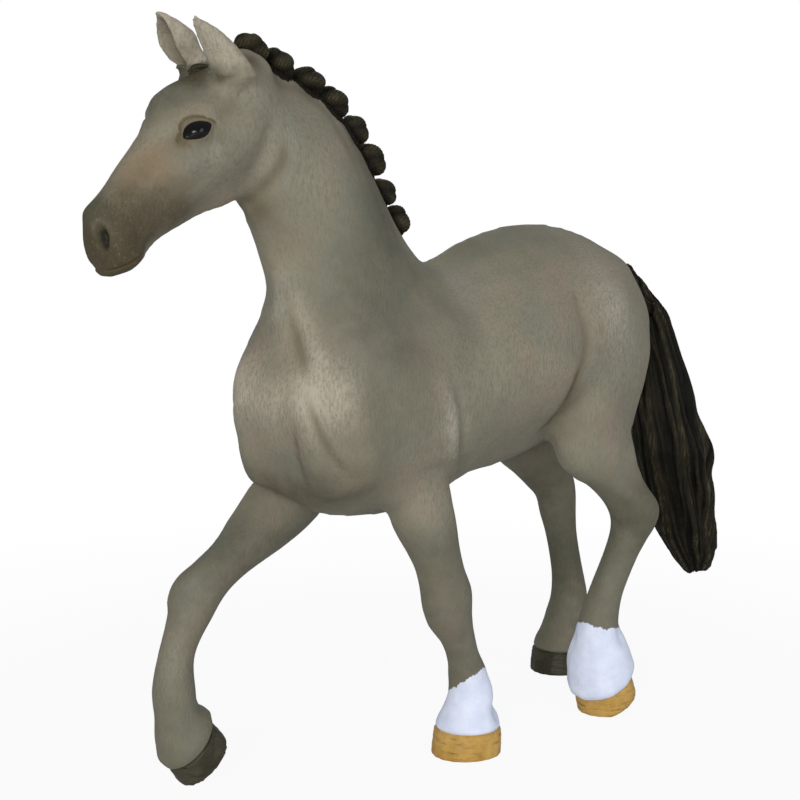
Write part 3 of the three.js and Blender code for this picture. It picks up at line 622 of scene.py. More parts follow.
def ear_spots(spots, rows, aside, **cut):
    """Each point's height in the picture, its place across an ear and towards the camera as shares of the half
    width, and that half width."""
    rows = np.array(rows)
    u, v, away = pictured(spots)
    left, right = (np.interp(v, rows[:, 0], rows[:, edge]) for edge in (1, 2))
    reach = [(EYE_POINT - beside((row[1] + row[2]) / 2, row[0], aside)) @ BACK for row in rows]
    half = (right - left) / 2 * away / FOCAL
    across = (u - (left + right) / 2) / ((right - left) / 2)
    towards = (np.interp(v, rows[:, 0], reach) - away) / (half * EAR_DEEP)
    return v, across, towards, half


coat = form_of("coat", *BODY, *HOOVES, "left_eye", "right_eye")
clear_beyond(coat, is_ear)
coat = joined(coat, *(ear_form(side, **ear) for side, ear in EARS.items()))
set_places(coat, places(coat) + outward(coat) * SKIN_SEAM)
finish_with(coat, "REMESH", mode="VOXEL", voxel_size=SKIN_VOXEL * MM, adaptivity=0.0)
set_places(coat, places(coat) - outward(coat) * (SKIN_SEAM - 0.04))
even(coat, SKIN_ROUNDS)
spots = places(coat)
rear = eased(spots[:, 0], 12, 20)
even(coat, BODY_ROUNDS, eased(spots[:, 2], 34 - 10 * rear, 44 - 12 * rear) * eased(spots[:, 0], -44, -36))
spots = places(coat)
for outline in COAT_OUTLINES.values():
    spots = fitted(spots, **outline)
set_places(coat, spots)
skin = surface_of(coat)
spots, share = places(coat), np.zeros(len(spots))
for mark in MELTED:
    for side in (seen_at(skin, *mark), mirrored(seen_at(skin, *mark))):
        share = np.maximum(share, np.exp(-((spots - side) ** 2).sum(1) / MELT_REACH ** 2))
mean = neighbours(coat)
for turn in range(MELT_ROUNDS):
    spots += 0.5 * share[:, None] * (mean(spots) - spots)
set_places(coat, spots)

# Strokes are lines of pixels of the photograph, laid on the skin. Width and depth are in millimetres, and a negative
# depth stands out. Wash, dark and pale are how much of those paints a stroke holds, where pale on ridges is a painted
# highlight, and fade is the share of the line over which each end fades out. Both says that the other side has the
# same, and back is how much further back there.
STROKES = {
    "jaw_rear": dict(line=[(287, 138), (288, 148), (286, 158), (281, 169), (273, 180), (262, 190), (250, 198),
                           (238, 203)], width=1.3, depth=0.5, wash=0.45, both=True),
    "jaw_edge": dict(line=[(277, 140), (278, 152), (273, 165), (264, 176), (252, 185), (238, 192)],
                     width=1.8, depth=-0.25, both=True),
    "cheek_front": dict(line=[(214, 176), (216, 190), (212, 203), (203, 213)],
                        width=1.8, depth=0.15, wash=0.1, both=True),
    "temple": dict(line=[(240, 98), (232, 105), (223, 113), (217, 118)], width=1.3, depth=0.3, wash=0.35, both=True),
    "zygomatic": dict(line=[(232, 128), (226, 140), (210, 154), (192, 166), (174, 178)],
                      width=1.4, depth=-0.25, both=True),
    "under_crest": dict(line=[(212, 176), (192, 186), (170, 192), (150, 198)],
                        width=1.5, depth=0.25, wash=0.3, both=True),
    "nose_side": dict(line=[(152, 152), (141, 163), (131, 172), (123, 182)], width=1.7, depth=0.15, both=True),
    "brow": dict(line=[(180, 114), (190, 106), (205, 104), (217, 110)], width=1.2, depth=-0.25, both=True),
    "fret_1": dict(line=[(174, 124), (173, 134), (175, 145)], width=0.35, depth=0.08, wash=0.3, both=True),
    "fret_2": dict(line=[(169, 130), (169, 142), (173, 152)], width=0.35, depth=0.07, wash=0.25, both=True),
    "fret_3": dict(line=[(179, 119), (178, 128), (179, 136)], width=0.3, depth=0.07, wash=0.25, both=True),
    "fret_4": dict(line=[(178, 152), (184, 158), (193, 160)], width=0.35, depth=0.07, wash=0.2, both=True),
    "ear_crease": dict(line=[(210, 79), (218, 80), (227, 78), (238, 75)], width=0.5, depth=0.16, wash=0.5),
    "nostril_rim": dict(line=[(92.0, 234), (93, 226), (97, 221.5), (102, 221.5), (107, 226), (109.5, 236),
                              (107, 248)], width=0.62, depth=-0.3, pale_tone_and_highlight=0.22, fade=0.15, both=True, back=4.2),
    "nostril_floor": dict(line=[(98, 227), (100.5, 231), (103, 239), (101, 246)],
                          width=1.25, depth=0.5, wash=0.3, both=True, back=3.4),
    "nostril": dict(line=[(100.5, 233.5), (102.5, 238), (102.5, 243), (101, 246)],
                    width=0.8, depth=0.8, dark=1.2, fade=0.2, both=True, back=3.4),
    "mouth": dict(line=[(101, 271.5), (108, 271.5), (115, 270.5), (122.5, 267), (133, 261), (141, 256)],
                  width=0.3, depth=0.3, wash=0.9, dark=0.35, both=True),
    "lip_low": dict(line=[(112, 277), (124, 274), (136, 267)], width=0.9, depth=-0.2, both=True),
    "lip_corner": dict(line=[(139, 262), (144, 257), (147, 250)], width=0.8, depth=0.25, wash=0.4, both=True),
    "chin_groove": dict(line=[(146, 267), (151, 258), (155, 250)], width=1.0, depth=0.2, wash=0.3, both=True),
    "throat": dict(line=[(240, 208), (247, 216), (256, 224)], width=1.8, depth=0.08, wash=0.45, both=True),
    "neck_front": dict(line=[(258, 226), (265, 242), (270, 260), (276, 280)],
                       width=1.0, depth=0.12, wash=0.22, both=True),
    "jugular": dict(line=[(278, 276), (285, 292), (290, 308), (293, 326), (297, 345), (302, 361), (302, 376)],
                    width=1.1, depth=0.4, wash=0.42, fade=0.2),
    "jugular_deep": dict(line=[(291, 322), (295, 338), (300, 352), (303, 366), (301, 374)],
                         width=0.6, depth=0.2, wash=0.4),
    "breast_cut": dict(line=[(303, 388), (309.5, 406), (316, 422), (323, 438), (332, 454), (343, 468), (356, 482)],
                       width=0.7, depth=0.35, wash=0.6, both=True, fade=0.3),
    "breast_fine": dict(line=[(313, 414), (319, 428), (327, 445), (337, 461)],
                        width=0.4, depth=0.2, wash=0.6, both=True),
    "breast_round": dict(line=[(316, 360), (330, 388), (345, 418), (358, 446)], width=3.2, depth=-0.1, both=True),
    "neck_cord": dict(line=[(274, 262), (286, 290), (298, 318), (312, 344), (330, 368)],
                      width=1.6, depth=-0.45, pale_tone_and_highlight=0.4),
    "neck_muscle": dict(line=[(319, 262), (322, 292), (330, 318), (342, 340), (354, 360)],
                        width=2.6, depth=0.3, both=True),
    "breast_mid": dict(line=[(293, 425), (294, 440), (297, 457), (302, 474), (309, 490)],
                       width=0.45, depth=0.28, wash=0.7),
    "breast_mid_wide": dict(line=[(292, 405), (293, 430), (298, 460), (307, 484)], width=1.5, depth=0.2, wash=0.12),
    "breast_right": dict(line=[(275, 368), (272, 386), (269, 406), (266.5, 427), (265, 452)],
                         width=1.2, depth=0.0, wash=0.25),
    "arm_edge": dict(line=[(453, 376), (459, 396), (462.5, 416), (463.5, 436), (462.5, 452), (460, 470), (456, 482)],
                     width=1.0, depth=0.5, wash=0.3, both=True, fade=0.35),
    "arm_ridge": dict(line=[(444, 378), (449, 398), (453, 418), (454, 436), (453, 452), (450, 468)],
                      width=1.6, depth=-0.35, pale_tone_and_highlight=0.35, both=True),
    "mane_shade": dict(line=[(256, 72), (280, 84), (298, 89), (314, 100), (330, 116), (344, 140), (356, 165),
                             (366, 190)], width=1.3, depth=0.1, wash=0.5, both=True),
    "shoulder_blade": dict(line=[(352, 232), (372, 262), (390, 296), (402, 330)], width=2.6, depth=0.12, both=True),
    "shoulder_shade": dict(line=[(368, 350), (382, 385), (392, 420), (398, 456), (400, 486)],
                           width=3.0, depth=0.5, both=True),
    "elbow_hollow": dict(line=[(418, 330), (428, 352), (440, 372)], width=3.0, depth=0.3, both=True),
    "flank": dict(line=[(574, 290), (580, 308), (587, 333), (587, 353), (580, 376), (570, 398), (557, 415),
                        (543, 430)], width=1.7, depth=0.45, wash=0.5, both=True, fade=0.3),
    "flank_cut": dict(line=[(582, 366), (577, 382), (571, 397), (563, 409)],
                      width=0.5, depth=0.22, wash=0.8, both=True),
    "flank_low": dict(line=[(560, 412), (552, 421), (544, 428), (536, 433)],
                      width=0.45, depth=0.18, wash=0.7, both=True),
    "loin_marks": dict(line=[(571, 286), (575, 296), (580, 312), (586, 338)], width=0.5, depth=0.1, wash=0.55),
    "ham": dict(line=[(631, 285), (632, 310), (630, 345), (624, 385)], width=1.6, depth=0.15, both=True),
    "fetlock": dict(line=[(488, 684), (490, 690), (490, 697)], width=1.4, depth=-0.4, fade=0.1),
    "pastern": dict(line=[(494, 707), (495, 712), (496, 717)], width=1.2, depth=0.6, fade=0.1),
    "hind_pastern_rear": dict(line=[(620, 630), (621, 635), (622, 641)], width=1.3, depth=0.5, fade=0.1),
    "hind_pastern_front": dict(line=[(574, 634), (573, 640), (572, 647)], width=1.3, depth=0.4, fade=0.1),
    "jaw_low": dict(line=[(212, 205), (224, 203), (236, 200), (248, 194)],
                    width=2.4, depth=-0.35, both=True, fade=0.5),
    "chin": dict(line=[(128, 267), (136, 260), (142, 252)], width=1.5, depth=-0.35, both=True, fade=0.3),
}
# Soft regions of paint, on both sides. The deep layer is partly darker paint, as on the muzzle, and partly painted
# shade, as on the neck, shoulders, back, belly and legs; the pale layer is partly pale chips and partly painted
# highlights on the chest, arm, neck and haunch. Each layer has the pixels of the photograph at their middles, how far
# they reach in millimetres, and how strong they are.
REGIONS = {
    "deep": [((180, 88), 5.0, 0.3), ((168, 108), 3.5, 0.3), ((192, 72), 2.6, 0.9), ((181, 72), 1.8, 1.0),
             ((126, 236), 5.0, 0.3), ((98, 214), 2.4, 0.3), ((112, 262), 3.2, 0.7), ((100, 256), 3.0, 0.4),
             ((87, 242), 2.6, 0.8), ((86, 226), 2.0, 0.6), ((110, 270), 2.4, 0.9), ((100, 222), 4.0, 0.25),
             ((256, 64), 2.4, 0.5), ((276, 76), 2.0, 0.4), ((306, 92), 2.4, 0.4), ((250, 140), 6.0, 0.15),
             ((372, 190), 7.0, 0.4), ((392, 240), 8.0, 0.4), ((350, 130), 4.0, 0.3), ((366, 285), 9.0, 0.35),
             ((330, 240), 6.0, 0.15), ((342, 310), 6.0, 0.25), ((412, 340), 8.0, 0.3), ((392, 400), 10.0, 0.35),
             ((374, 460), 8.0, 0.3), ((436, 292), 7.0, 0.25), ((520, 232), 8.0, 0.15), ((470, 250), 6.0, 0.2),
             ((490, 300), 5.0, 0.15), ((600, 440), 6.0, 0.25), ((640, 520), 6.0, 0.35), ((560, 560), 8.0, 0.5),
             ((240, 540), 7.0, 0.2)],
    "brown": [((181, 70), 1.4, 0.5), ((232, 104), 3.0, 0.2), ((197, 70), 1.8, 1.0), ((186, 80), 2.0, 0.4),
              ((206, 82), 2.0, 0.3), ((176, 148), 2.4, 0.35), ((219, 134), 1.6, 0.3), ((204, 147), 1.8, 0.25),
              ((158, 206), 5.5, 0.4), ((176, 214), 4.0, 0.35), ((134, 226), 5.0, 0.4), ((126, 208), 4.0, 0.25),
              ((192, 210), 4.0, 0.25), ((118, 254), 3.4, 0.9), ((132, 262), 3.0, 0.8), ((105, 275), 3.0, 0.4),
              ((116, 262), 3.0, 0.4), ((286, 160), 2.2, 0.25), ((262, 204), 3.5, 0.35), ((250, 168), 7.0, 0.1),
              ((122, 266), 2.2, 0.8), ((250, 60), 1.8, 0.6), ((285, 235), 4.0, 0.2), ((300, 260), 5.0, 0.1),
              ((312, 500), 6.0, 0.35), ((342, 492), 6.5, 0.5), ((400, 500), 5.0, 0.25), ((500, 432), 6.0, 0.1),
              ((562, 424), 5.0, 0.5), ((578, 392), 3.0, 0.3), ((548, 478), 7.0, 0.35)],
    "warm": [((168, 162), 4.5, 0.35), ((144, 182), 5.0, 0.4), ((200, 112), 3.0, 0.3)],
    "rust": [((148, 160), 2.4, 0.3), ((137, 171), 2.2, 0.3), ((127, 188), 2.2, 0.3), ((158, 152), 1.8, 0.2),
             ((172, 172), 2.0, 0.2)],
    "pale_tone_and_highlight": [((214, 152), 1.8, 0.4), ((262, 110), 4.0, 0.1), ((330, 398), 5.0, 0.7), ((300, 390), 4.0, 0.5),
             ((450, 425), 3.4, 0.35), ((262, 400), 4.0, 0.3), ((295, 310), 3.0, 0.15), ((614, 300), 7.0, 0.5),
             ((625, 345), 7.0, 0.3), ((600, 262), 7.0, 0.25), ((168, 660), 5.0, 0.2)],
    "lilac": [((382, 322), 5.5, 0.5), ((460, 280), 4.0, 0.5), ((330, 345), 4.0, 0.3)],
}


def lay(tree, name, stroke):
    """The lines that a stroke follows on the skin, on one side or on both."""
    spots = [seen_at(tree, u, v) for u, v in stroke["line"]]
    if any(spot is None for spot in spots):
        print("off the skin:", name, [p for p, s in zip(stroke["line"], spots) if s is None])
    spots = [spot for spot in spots if spot is not None]
    if len(spots) < 2:
        return []
    step = max(stroke["width"] * 0.5, 0.18)
    lines = [along([nearest(tree, spot) for spot in along(spots, step)], step)]
    if stroke.get("both"):
        other = lines[0] * (1, -1, 1) + (stroke.get("back", 0), 2 * MIDLINE, 0)
        lines.append(np.array([nearest(tree, spot) for spot in other]))
    return lines


def face_distance(spots):
    return (spots - POLL) @ FACE_DOWN


HOOF_NEAR = 5.0


def coronet_of(node, spots):
    """The direction from a hoof's sole to its top, the top's height that way and which points are near the hoof."""
    up = sole_of(node)
    low, high = (np.array(corner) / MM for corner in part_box(node))
    corners = np.empty(len(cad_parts[node].data.vertices) * 3)
    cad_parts[node].data.vertices.foreach_get("co", corners)
    near = ((spots > low - HOOF_NEAR) & (spots < high + HOOF_NEAR)).all(1)
    return up, (corners.reshape(-1, 3) / MM @ up).max(), near


def within(spots, marks):
    """True for the points near any of the marks, which are places and reaches."""
    near = np.zeros(len(spots), bool)
    for mark, reach in marks:
        for side in (mark, mirrored(mark)):
            near |= np.linalg.norm(spots - side, axis=1) < reach
    return near


def ear_opening(spots, ear, wider=1.0):
    """How far round each point is from the middle of an ear's opening, where 1 is its edge."""
    v, across, towards, half = ear_spots(spots, **ear)
    here = (np.hypot(across, towards) < 1.45) & (v < ear["rows"][-2][0] + 3)
    here &= np.sign(spots[:, 1] - MIDLINE) == np.sign(ear["aside"])
    turn = np.arctan2(towards, -across) - math.radians(ear["turn"])
    turn = np.abs((turn + math.pi) % (2 * math.pi) - math.pi)
    return np.where(here, turn / math.radians(ear["slit"]) / wider, ELSEWHERE)


def ear_hollow(spots):
    """How each point moves into an ear's hollow, how deep in it is, from 0 to 1, and how far it has the ear's paint."""
    sink, inside, paler = np.zeros((len(spots), 3)), np.zeros(len(spots)), np.zeros(len(spots))
    for ear in EARS.values():
        v, across, towards, half = ear_spots(spots, **ear)
        opening, turn = ear_opening(spots, ear), math.radians(ear["turn"])
        here = opening < ELSEWHERE
        rows = [row[0] for row in ear["rows"]]
        open_part = eased(v, rows[1] + 1, rows[2] + 3) * eased(v, rows[6] + 4, rows[5] + 3) * here
        depth = np.clip(1 - opening ** 3, 0, 1) ** 0.75 * open_part
        inward = -(math.sin(turn) * BACK * EAR_DEEP - math.cos(turn) * RIGHT)
        sink += inward * (depth * half * ear["cup"])[:, None]
        inside = np.maximum(inside, depth)
        paler = np.maximum(paler, here * eased(v, rows[6] + 3, rows[5] - 2))
    return sink, inside, paler


# Each eye is an almond between two corners. Its upper and lower edges are heights as shares of its length.
EYE_FRONT, EYE_REAR = (184.0, 138.2), (211.3, 124.2)
EYE_UPPER, EYE_LOWER, EYE_BULGE = 0.565, 0.52, 0.3
EYE_SINK = {"left": 0.12, "right": 0.3}
EYE_NEAR = 4.5
skin = surface_of(coat)
eye_corners = [seen_at(skin, *mark) for mark in (EYE_FRONT, EYE_REAR)]
eye_middle = sum(eye_corners) / 2
eye_long = unit(eye_corners[1] - eye_corners[0])
eye_half = np.linalg.norm(eye_corners[1] - eye_corners[0]) / 2
eye_out = np.array(skin.find_nearest(Vector(eye_middle) * MM)[1])
eye_out = unit(eye_out - eye_long * (eye_out @ eye_long))
eye_up = np.cross(eye_out, eye_long)
eye_up = eye_up * (1 if eye_up[2] > 0 else -1)


def eye_edge(along_share, upper):
    """How far the eye's edge is from the line between its corners, in millimetres."""
    share = np.clip(np.abs(along_share), 0, 1)
    high = EYE_UPPER * (1 - share ** 2) ** 0.6 * (1 - 0.3 * along_share)
    low = EYE_LOWER * (1 - share ** 2) ** 0.9 * (1 + 0.15 * along_share)
    return np.where(upper, high, low) * eye_half


def eye_spots(spots):
    """Each point's share along the eye, its height above the corners' line and its distance outside the edge."""
    from_middle = spots - eye_middle
    share, height = from_middle @ eye_long / eye_half, from_middle @ eye_up
    outside = np.abs(height) - eye_edge(share, height > 0)
    beyond = np.hypot(height, np.maximum(np.abs(share) - 1, 0) * eye_half)
    outside = np.where(np.abs(share) < 1, outside * 0.85, beyond)
    return share, height, np.where(np.linalg.norm(from_middle, axis=1) < EYE_NEAR, outside, ELSEWHERE)


EYE_LID, EYE_CREASE = 0.24, 0.8
# The far side's skin is moved to the photograph's outline, and its eye goes with it.
FAR_EYE = RIGHT * 0.7 - np.array((0, 0.15, 0))


def lids(spots):
    """How far the skin stands out round the eyes, and how much brown the creases hold."""
    rise, wash = np.zeros(len(spots)), np.zeros(len(spots))
    for side in (spots, mirrored(spots - FAR_EYE)):
        share, height, outside = eye_spots(side)
        upper, front = eased(height, -0.3, 0.3), eased(share, -0.5, -1.1)
        rise += -0.6 * eased(outside, 0.08, -0.12)
        rise += (0.05 + 0.15 * upper) * (1 - 0.6 * front) * np.exp(-((outside - EYE_LID) / 0.2) ** 2)
        rise -= (0.05 + 0.12 * upper) * np.exp(-((outside - EYE_CREASE) / 0.24) ** 2)
        wash += 0.55 * eased(outside, 0.75, 0.1)
        wash += (0.15 + 0.65 * upper) * np.exp(-((outside - EYE_CREASE) / 0.2) ** 2)
        wash += (0.16 + 0.42 * front) * np.exp(-((outside - 0.9) / 0.9) ** 2)
        wash += 0.8 * np.exp(-((share + 1.08) / 0.16) ** 2 - ((height + 0.25) / 0.35) ** 2)
    return rise, wash


spots = places(coat)
divide_where(coat, (face_distance(spots) > -5) & (spots[:, 2] > 74) & (spots[:, 0] < -37))
spots = places(coat)
divide_where(coat, np.minimum(*(ear_opening(spots, ear, 1.7) for ear in EARS.values())) < 1)
for turn in range(2):
    spots = places(coat)
    beside_coronet = np.zeros(len(spots), bool)
    for node in HOOVES:
        up, top, here = coronet_of(node, spots)
        beside_coronet |= here & (np.abs(spots @ up - top) < 1.8 - turn * 0.8)
    divide_where(coat, beside_coronet)
skin = surface_of(coat)
NOSTRIL, LIPS = (102, 238), (125, 265)
fine_marks = [(eye_middle, 4.0), (seen_at(skin, *NOSTRIL), 3.2), (seen_at(skin, *LIPS), 3.0)]
divide_where(coat, within(places(coat), fine_marks))
divide_where(coat, within(places(coat), [(eye_middle, 2.7)]))
even(coat, 3)

skin = surface_of(coat)
faces_to = outward(coat)
spots = places(coat)
layers = {name: np.zeros(len(spots)) for name in ("wash", "pale_tone_and_highlight", "dark", "deep", "warm", "rust", "brown", "lilac")}
moved = np.zeros(len(spots))
for name, stroke in STROKES.items():
    for line in lay(skin, name, stroke):
        mark = field(spots, line, stroke["width"], stroke.get("fade", 0.25))
        moved -= mark * stroke["depth"]
        for layer in layers:
            if layer in stroke:
                wide = field(spots, line, stroke["width"] * 1.15, stroke.get("fade", 0.25))
                layers[layer] = np.maximum(layers[layer], wide * stroke[layer])
for layer, regions in REGIONS.items():
    for mark, reach, strength in regions:
        middle = seen_at(skin, *mark)
        if middle is None:
            print("region off the skin:", layer, mark)
            continue
        for side in (middle, mirrored(middle)):
            layers[layer] += strength * np.exp(-((spots - side) ** 2).sum(1) / reach ** 2)
rise, wash = lids(spots)
moved += rise
layers["wash"] = np.maximum(layers["wash"], wash)
sink, inside, paler = ear_hollow(spots)
HOOF_SWELL, HOOF_REACH, HOOF_TUCK = 0.3, 1.3, 0.45
for node in HOOVES:
    up, top, here = coronet_of(node, spots)
    above = spots @ up - top
    moved += here * (HOOF_SWELL * np.exp(-((above - 0.9) / HOOF_REACH) ** 2) - HOOF_TUCK * eased(above, 0.0, -0.5))
set_places(coat, spots + faces_to * moved[:, None] + sink)
even(coat, 1)

spots = places(coat)
mean = neighbours(coat)
hollow = ((mean(spots) - spots) * outward(coat)).sum(1)
for turn in range(6):
    hollow = mean(hollow)
hollow = hollow / (np.abs(hollow).mean() * 4)
layers["wash"] = np.clip(layers["wash"] + np.clip(hollow, 0, 1.4) * 0.2 * (1 - paler) + inside * 0.95, 0, 1.6)
# Bulging skin gets the pale layer as a painted highlight.
layers["pale_tone_and_highlight"] = np.clip(layers["pale_tone_and_highlight"] + np.clip(-hollow - 0.4, 0, 1.0) * 0.2, 0, 1.2)
down = face_distance(spots)
layers["head"] = eased(down, -3, 2) * eased(spots[:, 2], 74, 77) * eased(-spots[:, 0], 38, 42)
layers["ear"] = paler
for side in (spots, mirrored(spots)):
    layers["pale_tone_and_highlight"] *= 1 - 0.85 * np.exp(-(np.maximum(eye_spots(side)[2], 0) / 1.1) ** 2)
# The lower legs and the upward-facing top of the back get painted shade, and the muzzle gets darker paint.
leg_shade = eased(spots[:, 2], 46, 36)
back = eased(outward(coat)[:, 2], 0.45, 0.95) * eased(spots[:, 2], 70, 76) * eased(spots[:, 0], -20, -12)
muzzle = layers["head"] * eased(down, 31, 37)
layers["deep"] = np.clip(layers["deep"] + leg_shade * 0.5 + back * 0.12 + muzzle * 0.35, 0, 1.3)

SOCKS = {  # three pixels on the sock's upper edge
    "left_fore": [(447, 691), (462, 686), (484, 668)],
    "left_hind": [(573, 622), (598, 637), (621, 628)],
}
SOCK_DIP = (601, 636)
SOCK_BELOW, SOCK_ABOVE = (5, 5, 5), (5, 5, 12)
DIP_DEPTH, DIP_REACH = 0.9, 1.8
sock = np.full(len(spots), -ELSEWHERE)
for leg, marks in SOCKS.items():
    low, high = (np.array(corner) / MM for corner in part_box(leg + "_sock"))
    edge = [seen_at(skin, *mark) for mark in marks]
    if any(mark is None for mark in edge):
        print("sock edge off the skin:", leg)
        continue
    tilt = unit(np.cross(unit(edge[2] - edge[0]), sight(*marks[1])))
    inside = -(spots - (edge[0] + edge[2]) / 2) @ (tilt * (1 if tilt[2] > 0 else -1))
    here = ((spots > low - SOCK_BELOW) & (spots < high + SOCK_ABOVE)).all(1)
    sock[here] = inside[here]
dip = seen_at(skin, *SOCK_DIP)
sock -= DIP_DEPTH * np.exp(-((spots - dip) ** 2).sum(1) / DIP_REACH ** 2)
layers["sock"] = np.clip(sock, -ELSEWHERE, ELSEWHERE)
layers["bare"] = eased(sock, -0.5, 0.5)
for name, values in layers.items():
    set_attribute(coat, name, values)
coat.data.materials.append(coat_paint())
only(coat)
bpy.ops.object.shade_smooth()
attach(coat, "root")
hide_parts("torso", "head", "left_foreleg", "right_foreleg", "left_hindleg", "right_hindleg",
            "left_fore_sock", "left_hind_sock")

# ---------------------------------------------------------------- eyes
def eye(side):
    """An almond-shaped dome that fills the lids."""
    piece, spots = ball(side + "_eye_gloss", 64, 32)
    share, height, out = spots[:, 0], spots[:, 2], spots[:, 1]
    reach = np.sqrt(np.maximum(1 - share ** 2, 1e-4))
    lift = np.clip(height / reach, -1, 1) * (eye_edge(share, height > 0) + 0.1)
    flat = eye_middle + (share * (eye_half + 0.1))[:, None] * eye_long + lift[:, None] * eye_up
    bulge = np.where(out > 0, out * EYE_BULGE, out * 0.7) - EYE_SINK[side]
    ground = []
    for spot in flat:
        hit = skin.ray_cast(Vector(spot + eye_out * 3) * MM, Vector(-eye_out))[0]
        ground.append(3.0 if hit is None else (np.array(hit) / MM - spot) @ eye_out)
    shape = flat + (np.array(ground) + bulge)[:, None] * eye_out
    if side == "right":
        shape = mirrored(shape) + FAR_EYE
    set_places(piece, shape)
    only(piece)
    bpy.ops.object.mode_set(mode="EDIT")
    bpy.ops.mesh.select_all(action="SELECT")
    bpy.ops.mesh.normals_make_consistent(inside=False)
    bpy.ops.object.mode_set(mode="OBJECT")
    return piece


def eye_paint():
    """Gloss black, faintly mottled between two near-black tones."""
    paint = Paint("gloss_black_eye", Roughness=0.14, IOR=1.45, Specular_IOR_Level=0.32)
    fine = paint.noise(0.7, 3.0, 0.6)
    return paint.end(paint.mix(paint.step(fine, 0.4, 0.7), tint(4, 4, 3), tint(9, 8, 6)), None, (fine, 0.004))


eye_gloss = eye_paint()
for side in ("left", "right"):
    dress(eye(side), eye_gloss, "eye", side + "_eye")

# ---------------------------------------------------------------- hair: plaits, forelock and tail
def hair_paint(name, dark, mid, light, grain):
    """Dark paint, dry-brushed lighter on what stands out."""
    paint = Paint(name, Roughness=0.6, IOR=1.45, Specular_IOR_Level=0.14)
    strands = paint.noise(0.35, 4.0, 0.6, paint.stretched(grain))
    clouds = paint.noise(4.0, 3.0, 0.5)
    ridge = paint.attribute("ridge") + (strands - 0.5) * 0.9 + (clouds - 0.5) * 0.5
    colour = paint.mix(paint.step(ridge, 0.2, 0.62), dark, mid)
    colour = paint.mix(paint.step(ridge, 0.6, 1.15) * 0.75, colour, light)
    return paint.end(colour, paint.step(clouds, 0.3, 0.7, 0.5, 0.68), (strands, 0.16))


mane_hair = hair_paint("mane_paint", tint(18, 16, 9), tint(37, 33, 21), tint(76, 70, 52), (1.0, 1.0, 1.0))
tail_hair = hair_paint("tail_paint", tint(7, 6, 2), tint(30, 27, 15), tint(104, 98, 76), (1.0, 1.0, 0.12))

PLAITS = 8
BUN_LONG, BUN_WIDE, BUN_TALL = 2.2, 2.3, 1.75
ROOT_LONG, ROOT_WIDE, ROOT_TALL, ROOT_CURVE = 2.7, 1.75, 1.0, 0.9


def middle_of(node):
    low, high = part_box(node)
    return np.array((low + high) / 2) / MM


def plait(number, centre, ahead, rise):
    """A rolled bun with three strands wound round it, on a ragged root of hair."""
    turn = chance.uniform(0, 2 * math.pi)
    side = np.cross(ahead, rise)
    bun, spots = ball("plait_%d" % number, 72, 36)
    round_turn = np.arctan2(spots[:, 1], spots[:, 0])
    wind = spots[:, 2] * 1.1
    strands = np.abs(np.cos(1.5 * (round_turn + wind) + turn))
    fine = np.cos(26 * round_turn + 9 * wind + turn) * 0.5 + 0.5
    lump = np.cos(2.0 * round_turn + turn * 2) * 0.05 + np.cos(3 * spots[:, 2] + turn) * 0.05
    radius = 0.9 + 0.16 * strands ** 0.6 + 0.035 * fine + lump
    ridge = np.clip(0.15 + 0.6 * strands + 0.25 * fine, 0, 1)
    shape = np.sign(spots) * np.abs(spots) ** 0.86 * radius[:, None]
    size = chance.uniform(0.93, 1.07)
    lean = chance.uniform(-0.25, 0.25)
    x, y, z = shape.T * size
    x = x + lean * z
    low = z < 0
    squeeze = np.where(low, 1 - 0.18 * np.abs(z), 1.0)
    set_places(bun, centre + (x * BUN_LONG * squeeze)[:, None] * ahead + (z * BUN_TALL)[:, None] * rise
               + (y * BUN_WIDE * squeeze)[:, None] * side)
    set_attribute(bun, "ridge", ridge * eased(z, -1.0, -0.2))
    root, spots = ball("plait_root", 56, 20)
    round_turn = np.arctan2(spots[:, 1], spots[:, 0])
    ragged = 1 + 0.05 * np.cos(13 * round_turn + turn) + 0.04 * np.cos(29 * round_turn + 3 * turn)
    x, y, z = spots.T
    foot = centre - rise * (BUN_TALL * 0.72)
    set_places(root, foot + (x * ROOT_LONG * ragged)[:, None] * ahead + (z * ROOT_TALL)[:, None] * rise
               + (y * ROOT_WIDE * ragged)[:, None] * side - (y ** 2 * ROOT_CURVE)[:, None] * rise)
    set_attribute(root, "ridge", 0.25 + 0.3 * np.cos(29 * round_turn + 3 * turn))
    return joined(bun, root)


buns = [middle_of("mane_plait_%d" % (number + 1)) for number in range(PLAITS)]
for number, centre in enumerate(buns):
    ahead = unit(buns[min(number + 1, PLAITS - 1)] - buns[max(number - 1, 0)])
    rise = unit(np.cross(np.array((0.0, 1.0, 0.0)), ahead))
    rise = rise * (1 if rise[2] > 0 else -1)
    piece = plait(number + 1, centre - rise * 0.1, ahead, rise)
    dress(piece, mane_hair, "mane_dark", "mane_plait_%d" % (number + 1))

LOCK_LOW, LOCK_HIGH = (np.array(corner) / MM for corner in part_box("forelock"))
LOCK_SINK, LOCK_SHARES = 1.4, (0.9, 0.9, 0.75)
tuft, spots = ball("forelock_tuft", 56, 28)
round_turn = np.arctan2(spots[:, 1], spots[:, 2])
waves = np.abs(np.cos(3.5 * round_turn + 2.0 * spots[:, 0]))
set_attribute(tuft, "ridge", 0.5 * waves)
set_places(tuft, (LOCK_LOW + LOCK_HIGH) / 2 - FACE_OUT * LOCK_SINK
           + (spots * (0.88 + 0.16 * waves)[:, None]) * (LOCK_HIGH - LOCK_LOW) / 2 * LOCK_SHARES)
lock_hair = hair_paint("forelock_paint", tint(44, 40, 28), tint(70, 65, 48), tint(100, 95, 76), (1.0, 1.0, 1.0))
dress(tuft, lock_hair, "mane_dark", "forelock")

